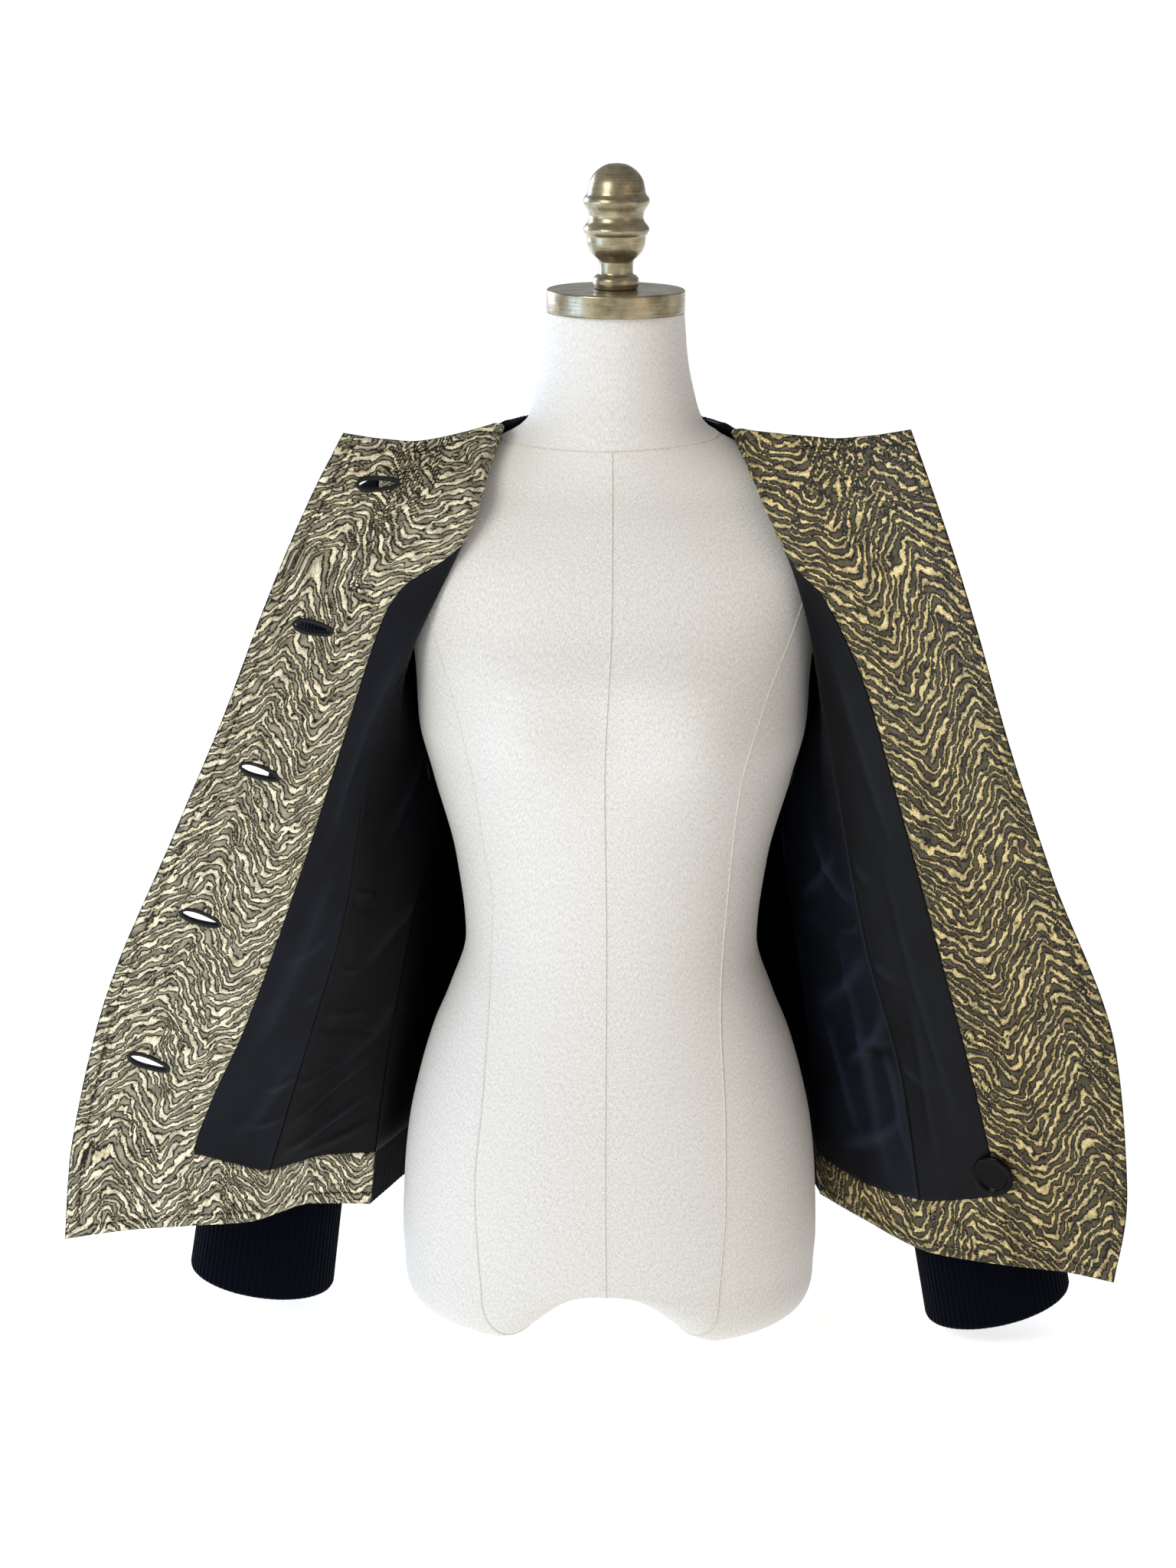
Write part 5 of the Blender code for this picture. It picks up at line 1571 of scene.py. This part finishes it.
@dataclass
class RibBack:
    """The rib-knit back and its satin lining."""

    cut: JacketCut
    finishes: Finishes
    ribs: int = 122
    points_a_rib: int = 6
    row_pitch: float = 11.5
    lining_pitch: float = 7.0
    lining_cells: int = 100
    # Lengths in mm from hem and from hem band to neckline, for the steps along them
    length: float = 640.0
    lining_length: float = 560.0
    ends: tuple = (0.0, 0.8, 2.0, 4.0)
    reverse_step: int = 6
    lip: float = 2.5
    # Soft folds that stand out, in mm from the middle of the back and from the hem
    folds: tuple = ((-120, 250, -40, 300, 14, 3.0), (-110, 215, -20, 240, 12, 2.2),
                    (115, 262, 30, 296, 14, 2.8), (120, 210, 40, 236, 12, 2.4),
                    (-95, 420, -60, 520, 16, 2.2), (98, 410, 66, 515, 16, 2.4),
                    (-60, 60, -75, 190, 18, 2.6), (70, 50, 82, 180, 18, 2.8), (5, 120, -8, 250, 20, 2.0))
    # Distance from the middle of the back at which the folds end, and over which they fade
    folds_within: tuple = (200, 26)

    def flat(self, points: np.ndarray) -> tuple[np.ndarray, np.ndarray]:
        """Distances in mm along the cloth from the middle of the back and from the hem."""
        across = np.linalg.norm(np.diff(points, axis=1), axis=2)
        u = np.concatenate([np.zeros((len(points), 1)), np.cumsum(across, axis=1)], axis=1)
        u -= u[:, u.shape[1] // 2][:, None]
        along = np.linalg.norm(np.diff(points, axis=0), axis=2)
        v = np.concatenate([np.zeros((1, points.shape[1])), np.cumsum(along, axis=0)])
        return u / MM, v / MM

    def build_knit(self) -> None:
        """Ribs that run from hem to shoulder on the outside, and on the inside of the bare hem band."""
        rows = edge_steps(self.length, self.row_pitch, self.ends, self.reverse_step) * ROW_NECK
        columns = np.linspace(0, 1, self.ribs * self.points_a_rib + 1)
        wall = self.cut.back.read(rows, columns)
        u, v = self.flat(wall[0])
        rib = rib_relief(columns * self.ribs)
        end = turned_edge(np.minimum(v, v[-1] - v), self.lip)
        reach, fade = self.folds_within
        out = soft_folds(u, v, self.folds) * smooth_step(0, fade, reach - np.abs(u))
        outer = -(RIB_VALLEY + RIB_RISE * rib) * (0.55 + 0.45 * end) - out
        band = 0.5 * rib * (1 - smooth_step(0.9, 1.05, rows))[:, None] - 0.3
        item = cloth_piece("rib_back", wall, outer, band - out, self.reverse_step, (u, v), self.finishes.rib,
                           ["linen_form"], sharp=75.0)
        dress(item, "rib_knit", "back")

    def build_lining(self) -> None:
        """The lining of the back, from the top of the hem band to the neckline."""
        steps = edge_steps(self.lining_length, self.lining_pitch, self.ends[:3], self.reverse_step)
        rows = ROW_HEM_FACING + (ROW_NECK - ROW_HEM_FACING) * steps
        wall = self.cut.back.read(rows, np.linspace(0, 1, self.lining_cells + 1))
        u, v = self.flat(wall[0])
        heights = GAP + LINING * (0.3 + 0.7 * turned_edge(np.minimum(v, v[-1] - v), self.lip))
        # The back lining takes the satin's painted shaded copy.
        item = cloth_piece("satin_back_lining", wall, heights, 0.2, self.reverse_step, (u, v),
                           self.finishes.satin_shaded_copy, ["rib_back"])
        dress(item, "satin", "back_lining")

    def build(self) -> None:
        """Make the back."""
        self.build_knit()
        self.build_lining()


@dataclass
class RibSleeve:
    """A rib-knit sleeve from the armhole to its wide open wrist."""

    cut: JacketCut
    side: Side
    finishes: Finishes
    ribs: int = 72
    points_a_rib: int = 7
    row_pitch: float = 10.5
    length: float = 560.0
    ends: tuple = (0.0, 0.9, 2.2)
    reverse_step: int = 8
    lip: float = 2.5
    # Troughs that sink into the hollow: in mm round the sleeve from its top, and up from the wrist
    folds: tuple = ((20, 330, 110, 372, 11, -3.2), (150, 300, 60, 345, 10, -2.8),
                    (205, 262, 130, 300, 12, -2.6), (60, 268, 140, 252, 10, -2.4),
                    (170, 205, 95, 228, 11, -2.0), (90, 430, 150, 470, 13, -2.6),
                    (75, 60, 90, 150, 14, -1.6), (250, 320, 190, 350, 10, -2.2))
    # Distance from the armhole at which the troughs begin and are full
    folds_from: tuple = (40, 90)

    def armhole_ring(self) -> np.ndarray:
        """The armhole's edge from the shoulder down the back and up the front, clear of the walls."""
        column = 0 if self.side is Side.RIGHT else -1
        start = CAD_ROWS.index(ROW_UNDERARM)
        front, back = self.cut.fronts[self.side], self.cut.back
        ring = np.concatenate([back.points[start:, column][::-1], front.points[start:, 0][1:-1]])
        ways = np.concatenate([back.ways[start:, column][::-1], front.ways[start:, 0][1:-1]])
        ring[:, 0] += self.side.value * (np.abs(ways[:, 0]) * (RIB_VALLEY + RIB_RISE) + 2 * GAP) * MM
        return ring

    def rings(self) -> np.ndarray:
        """The solid's own rings, from the armhole to the wrist."""
        sections = np.array(SLEEVE_SECTIONS[self.side.word], float)
        table = smooth_between(range(len(sections)), sections, CAD_SLEEVE_ROWS)
        hole = self.armhole_ring()
        closed = np.concatenate([hole, hole[:1]])
        places = np.arange(CAD_SLEEVE_CELLS) * len(hole) / CAD_SLEEVE_CELLS
        knots = np.arange(len(closed))
        first = np.stack([np.interp(places, knots, line) for line in closed.T], axis=-1)
        angles = math.tau * np.arange(CAD_SLEEVE_CELLS) / CAD_SLEEVE_CELLS
        found = [first]
        for x, y, z, half, depth, turn, dip in table:
            lean, tip = math.radians(turn), math.radians(dip)
            outward = np.array([self.side.value * math.sin(lean), 0.0, math.cos(lean)])
            backward = np.array([0.0, math.cos(tip), math.sin(tip)])
            found.append((np.array([x, y, z]) + np.outer(np.cos(angles) * half, outward)
                          + np.outer(np.sin(angles) * depth, backward)) * MM)
        return np.array(found)

    def build(self) -> None:
        """Read the rings finely, all round and along, and raise the ribs."""
        rings = self.rings()
        around = np.linspace(0, CAD_SLEEVE_CELLS, self.ribs * self.points_a_rib, endpoint=False)
        wrapped = np.concatenate([rings[:, -3:], rings, rings[:, :3]], axis=1)
        knots = np.arange(-3, CAD_SLEEVE_CELLS + 3)
        fine = smooth_between(knots, np.swapaxes(wrapped, 0, 1), around)
        along_knots = np.concatenate([[0.0], np.array(CAD_SLEEVE_ROWS) + 1])
        rows = edge_steps(self.length, self.row_pitch, self.ends, self.reverse_step) * along_knots[-1]
        points = smooth_between(along_knots, np.swapaxes(fine, 0, 1), rows)
        padded = np.concatenate([points[:, -1:], points, points[:, :1]], axis=1)
        ways = grid_normals(padded)[:, 1:-1]
        ways = ways * np.sign((ways * (points - points.mean(axis=1, keepdims=True))).sum())
        along = np.linalg.norm(np.diff(points, axis=0), axis=2)
        run = np.concatenate([np.zeros((1, points.shape[1])), np.cumsum(along, axis=0)]) / MM
        v = run[-1] - run
        across = np.linalg.norm(np.diff(padded[:, 1:], axis=1), axis=2)
        u = (np.cumsum(across, axis=1) - across) / MM
        rib = rib_relief(np.arange(points.shape[1]) / self.points_a_rib)
        sink = soft_folds(u, v, self.folds) * smooth_step(*self.folds_from, run)
        heights = (RIB_VALLEY + RIB_RISE * rib) * (0.5 + 0.5 * turned_edge(v, self.lip)) + sink
        item = cloth_piece(f"rib_sleeve_{self.side.word}", (points, ways), heights, sink + 0.1,
                           self.reverse_step, (u, v), self.finishes.rib,
                           [f"jacquard_front_{self.side.word}", "rib_back"], wrap=True, sharp=75.0)
        dress(item, "rib_knit", f"sleeve_{self.side.word}")


@dataclass
class Fastenings:
    """Buttons and bound buttonholes, set where the solids have them."""

    fronts: dict[Side, OpenFront]
    finishes: Finishes
    places: tuple = ((690, -2), (587, -18), (479, -25), (365, -25), (245, -26))
    button_from_edge: float = 37.0
    hole_from_edge: float = 43.0
    # How far round a button the cloth is looked at, so that the button stands clear of it
    button_reach: float = 15.0
    slit_length: float = 36.0
    slit_width: float = 9.0
    slit_depth: float = 7.0
    binding: float = 3.4
    # How far a binding stands out of the shell and of the facing, and the power of its section
    binding_out: tuple = (1.3, 1.8)
    binding_power: float = 0.6
    spare_place: tuple = (1.22, 0.55)

    def at(self, side: Side, row: float, share: float) -> np.ndarray:
        """A point of the solid's grid, in a straight line between its points."""
        grid = self.fronts[side].surface.points
        row, share = np.clip(row, 0, ROW_NECK), min(share, 1.0)
        return read_table(grid, np.interp(row, CAD_ROWS, range(len(CAD_ROWS))),
                          np.interp(share, CAD_COLUMNS, range(len(CAD_COLUMNS))))

    def place(self, side: Side, height: float, from_edge: float) -> tuple[float, float]:
        """Row and share at a height and at a distance from the front edge, in mm."""
        best = (1.0, 0.0, 0.0)
        for row in np.linspace(0, ROW_NECK, 400):
            edge, inner = self.at(side, row, 1.0), self.at(side, row, 0.7)
            share = 1.0 - 0.3 * from_edge * MM / float(np.linalg.norm(edge - inner))
            best = min(best, (abs(float(self.at(side, row, share)[2]) - height * MM), row, share))
        return best[1:]

    def matrix(self, side: Side, row: float, share: float, slope: float,
               reach: float) -> tuple[np.ndarray, tuple]:
        """A place on the front: X across at a slope, Z inwards, and how far the cloth rises round it.

        Z is the way in which a patch of points round the place spreads least.
        """
        point = self.at(side, row, share)
        spots = [self.at(side, row + up, share + across)
                 for up in (-0.15, 0, 0.15) for across in (-0.1, 0, 0.1)]
        normal = np.linalg.svd(np.array(spots) - point)[2][2]
        inward = self.fronts[side].surface.ways[CAD_ROWS.index(ROW_UNDERARM), -1]
        normal = normal if normal @ inward > 0 else -normal
        level = unit(np.cross(normal, (0.0, 0.0, 1.0))) * side.value
        upright = np.cross(normal, level)
        angle = math.radians(slope)
        across = level * math.cos(angle) + upright * math.sin(angle)
        rises = [0.0]
        for up in np.linspace(-0.4, 0.4, 17):
            for step in np.linspace(-0.15, 0.1, 17):
                offset = self.at(side, row + up, share + step) - point
                if np.linalg.norm(offset) < reach * MM:
                    rises.append(float(offset @ normal))
        return placing(across, np.cross(normal, across), normal, point), (max(rises), -min(rises))

    def slot_loop(self, length: float, width: float, steps: int) -> np.ndarray:
        """A lens, seen from above: fullest beyond its middle, and drawn out to its lower end."""
        angle = math.tau * (np.arange(steps) + 0.5) / steps
        x = np.cos(angle)
        y = superellipse(angle, 0.8)[1] * (1.0 - 0.25 * x * np.abs(np.sin(angle)))
        return np.stack([x * length / 2, y * width / 2, np.zeros(steps)], axis=-1)

    def build_buttonholes(self, shell: bpy.types.Object, facing: bpy.types.Object) -> None:
        """Cut the five slits through shell and facing, and bind each with a rolled cord."""
        cuts, start = ([], []), 0
        for number, (height, slope) in enumerate(self.places, start=1):
            row, share = self.place(Side.RIGHT, height, self.hole_from_edge)
            placed, _ = self.matrix(Side.RIGHT, row, share, slope, self.slit_length / 2)
            loop = self.slot_loop(self.slit_length - 1.8, self.slit_width - 0.2, 28)
            ends = np.concatenate([loop - (0, 0, self.slit_depth), loop + (0, 0, self.slit_depth)]) * MM
            cuts[0].append(ends @ placed[:3, :3].T + placed[:3, 3])
            cuts[1].append(start + grid_quads(2, len(loop), 0, True))
            caps = np.arange(len(loop))[None]
            cuts[1].extend([start + caps[:, ::-1], start + len(loop) + caps])
            start += len(ends)
            self.build_binding(number, placed)
        cutter = make_piece("slit_cutter", np.concatenate(cuts[0]), cuts[1], self.finishes.binding)
        cutter.hide_render = True
        for wall in (shell, facing):
            cut = wall.modifiers.new("slits", "BOOLEAN")
            cut.object, cut.operation, cut.solver = cutter, "DIFFERENCE", "EXACT"
            cut.use_self = True
            bpy.context.view_layer.update()
            graph = bpy.context.evaluated_depsgraph_get()
            mesh = bpy.data.meshes.new_from_object(wall.evaluated_get(graph), depsgraph=graph)
            wall.modifiers.clear()
            wall.data = mesh
        bpy.data.objects.remove(cutter, do_unlink=True)

    def build_binding(self, number: int, placed: np.ndarray) -> None:
        """A rolled binding round a slit: a rounded section carried round the lens."""
        steps, sides = 96, 14
        path = self.slot_loop(self.slit_length - self.binding, self.slit_width - 0.3, steps) * MM
        low, high = -(SHELL + self.binding_out[0]), GAP + FACING + self.binding_out[1]
        across, up = superellipse(math.tau * np.arange(sides) / sides, self.binding_power)
        section = np.stack([across * self.binding / 2, up * (high - low) / 2 + (high + low) / 2], axis=-1)
        ups = np.broadcast_to((0.0, 0.0, 1.0), path.shape)
        points, faces = swept_cord(path, ups, section * MM, True)
        points = points @ placed[:3, :3].T + placed[:3, 3]
        item = make_piece(f"bound_buttonhole_{number}", points, faces, self.finishes.binding)
        dress(item, "binding", f"buttonhole_{number}")

    def build_button(self, name: str, node: str, placed: np.ndarray) -> None:
        """A turned button: dished face, rolled rim and domed underside."""
        outline = ((0, 3.0), (4, 2.95), (8, 2.8), (10.4, 2.7), (11.5, 3.3), (12.7, 4.5), (14.0, 4.9),
                   (15.3, 4.5), (16.3, 3.4), (16.5, 2.6), (16.1, 1.6), (14.5, 0.7), (10, 0.15), (0, 0))
        points, faces = turned_body(rounded_outline(outline, 42), 48, placed)
        dress(make_piece(name, points, faces, self.finishes.horn), "black_horn", node)

    def build(self, shell: bpy.types.Object, facing: bpy.types.Object) -> None:
        """Make the fastenings; the buttonholes are on the wearer's right front."""
        self.build_buttonholes(shell, facing)
        for number, (height, slope) in enumerate(self.places, start=1):
            row, share = self.place(Side.LEFT, height, self.button_from_edge)
            placed, rises = self.matrix(Side.LEFT, row, share, slope, self.button_reach)
            placed[:3, 3] -= placed[:3, 2] * ((SHELL + 2 * GAP) * MM + rises[1])
            placed[:3, 1:3] *= -1
            self.build_button(f"horn_button_{number}", f"button_{number}", placed)
        placed, rises = self.matrix(Side.LEFT, *self.spare_place, 0, self.button_reach)
        placed[:3, 3] += placed[:3, 2] * ((2 * GAP + FACING) * MM + rises[0])
        self.build_button("horn_spare_button", "spare_button", placed)


@dataclass
class Studio:
    """Camera, soft lights and a plain pale floor."""

    distance: float = 2.5
    height: float = 1.0928
    azimuth: float = 2.0
    yaw: float = 0.43
    pitch: float = 14.6
    roll: float = 0.30
    lens: float = 77.0
    floor_size: float = 600.0

    def build_camera(self) -> None:
        """The photograph's view: from a little above the metal top, looking slightly down."""
        azimuth, pitch, roll = (math.radians(value) for value in (self.azimuth, self.pitch, self.roll))
        heading = azimuth + math.radians(self.yaw)
        ahead = np.array([-math.sin(heading) * math.cos(pitch), math.cos(heading) * math.cos(pitch),
                          -math.sin(pitch)])
        right = np.array([math.cos(heading), math.sin(heading), 0.0])
        up = np.cross(right, ahead)
        place = (self.distance * math.sin(azimuth), -self.distance * math.cos(azimuth), self.height)
        matrix = placing(right * math.cos(roll) + up * math.sin(roll),
                         up * math.cos(roll) - right * math.sin(roll), -ahead, place + TO_MIDDLE)
        data = bpy.data.cameras.new("camera")
        data.lens = self.lens
        data.clip_end = 900.0
        camera = bpy.data.objects.new("camera", data)
        camera.matrix_world = Matrix(matrix.tolist())
        bpy.context.scene.collection.objects.link(camera)
        bpy.context.scene.camera = camera

    def build_light(self, name: str, place: tuple, target_height: float, size: float, watts: float,
                    colour: str) -> None:
        """A square soft light that faces a height on the middle line."""
        data = bpy.data.lights.new(name, "AREA")
        data.size, data.energy, data.color = size, watts, linear_colour(colour)[:3]
        light = bpy.data.objects.new(name, data)
        back = unit(np.array(place) - (0.0, 0.0, target_height))
        right = unit(np.cross((0.0, 0.0, 1.0), back))
        light.matrix_world = Matrix(placing(right, np.cross(back, right), back, place).tolist())
        bpy.context.scene.collection.objects.link(light)

    def build_floor(self) -> None:
        """A wide white floor, lit a little from within so that it stays white at a distance."""
        half = self.floor_size / 2
        corners = np.array([(-half, -half, 0), (half, -half, 0), (half, half, 0), (-half, half, 0)], float)
        mesh = bpy.data.meshes.new("floor")
        mesh.from_pydata(corners.tolist(), [], [(0, 1, 2, 3)])
        mesh.materials.append(Shader("floor_paper_white").finish({
            "Base Color": linear_colour("#F6F6F4"),
            "Roughness": 0.9,
            "Emission Color": linear_colour("#FFFFFF"),
            "Emission Strength": 0.62,
        }))
        floor = bpy.data.objects.new("floor", mesh)
        bpy.context.scene.collection.objects.link(floor)

    def build(self) -> None:
        """Set the stage."""
        self.build_camera()
        self.build_floor()
        self.build_light("window", (-2.1, -2.5, 2.2), 0.45, 1.6, 76.0, "#FFFBF5")
        self.build_light("low_window", (-2.4, -0.9, 0.35), 0.3, 1.2, 22.0, "#A6CAFF")
        self.build_light("back_soft", (-2.3, 2.1, 1.2), 0.4, 1.6, 60.0, "#DCE9FF")
        self.build_light("fill", (2.4, -2.2, 1.3), 0.45, 1.6, 8.0, "#FFC795")
        world = bpy.data.worlds.new("studio")
        world.use_nodes = True
        backdrop = world.node_tree.nodes["Background"]
        backdrop.inputs["Color"].default_value = linear_colour("#FFFFFF")
        backdrop.inputs["Strength"].default_value = 0.42
        bpy.context.scene.world = world
        bpy.context.scene.view_settings.view_transform = "Standard"


# Creases in each front's linings, in mm on the flat cloth from the facing's inner edge and the hem:
# (u and v of one end, u and v of the other, half width, height)
LINING_FOLDS = {
    Side.RIGHT: ((-8, 150, -30, 330, 8, 1.7), (-38, 204, -60, 228, 4, 1.7), (-34, 130, -58, 143, 3.5, 1.4),
                 (-42, 268, -56, 300, 4, 1.4), (-28, 84, -48, 160, 7, 1.5), (-12, 330, -26, 500, 8, 1.6),
                 (-16, 238, -42, 258, 5, 1.3), (-40, 340, -56, 362, 4, 1.2), (-36, 96, -58, 104, 3.5, 1.2),
                 (-60, 185, -120, 174, 3.2, -1.5), (-60, 197, -112, 189, 6, 1.6),
                 (-57, 284, -84, 275, 3.2, -1.2),
                 (-57, 294, -86, 287, 4, 1.4), (-60, 136, -102, 150, 5, 1.5), (-74, 76, -142, 124, 6, 2.4),
                 (-92, 68, -152, 102, 5, 1.9), (-66, 100, -136, 162, 6, 1.9), (-100, 148, -150, 216, 7, 2.0),
                 (-84, 228, -146, 292, 8, 2.0), (-90, 330, -132, 410, 8, 1.7), (-62, 232, -96, 226, 4, 1.2)),
    Side.LEFT: ((-20, 120, -30, 330, 7, 1.6), (-44, 80, -40, 220, 6, 1.3), (-14, 340, -24, 500, 7, 1.5),
                (-46, 150, -68, 166, 4, 1.4), (-44, 236, -66, 250, 4, 1.4), (-48, 316, -66, 336, 4, 1.2),
                (-68, 212, -124, 152, 7, 2.2), (-72, 258, -150, 202, 8, 2.0), (-70, 122, -142, 80, 7, 2.0),
                (-72, 300, -126, 346, 7, 1.9), (-88, 340, -148, 300, 8, 1.7), (-98, 70, -108, 260, 8, 1.5),
                (-70, 176, -118, 170, 3.5, -1.3), (-70, 186, -112, 181, 5, 1.5), (-84, 180, -72, 90, 6, 1.5),
                (-120, 90, -150, 190, 6, 1.8), (-70, 282, -100, 270, 3.5, 1.3)),
}


def main() -> None:
    """Build the form, the jacket and the stage."""
    logging.basicConfig(level=logging.INFO, format="%(name)s: %(message)s")
    finishes = Finishes.mixed()
    Studio().build()
    DressForm(finishes).build()
    cut = JacketCut()
    fronts = {
        # Each front takes the painted lit or shaded copy of the jacquard, and of the satin for each lining
        # panel, by how the light falls on it.
        Side.RIGHT: OpenFront(cut, Side.RIGHT, finishes, PuckerPattern(seed=35), 27, 65,
                              finishes.jacquard_lit_copy, finishes.satin_lit_copy, finishes.satin_shaded_copy,
                              LINING_FOLDS[Side.RIGHT]),
        Side.LEFT: OpenFront(cut, Side.LEFT, finishes, PuckerPattern(seed=3), 33, 82,
                             finishes.jacquard_shaded_copy, finishes.satin_shaded_copy, finishes.satin_lit_copy,
                             LINING_FOLDS[Side.LEFT]),
    }
    walls = {side: front.build() for side, front in fronts.items()}
    RibBack(cut, finishes).build()
    for side in Side:
        RibSleeve(cut, side, finishes).build()
    Fastenings(fronts, finishes).build(*walls[Side.RIGHT])


if __name__ == "__main__":
    main()
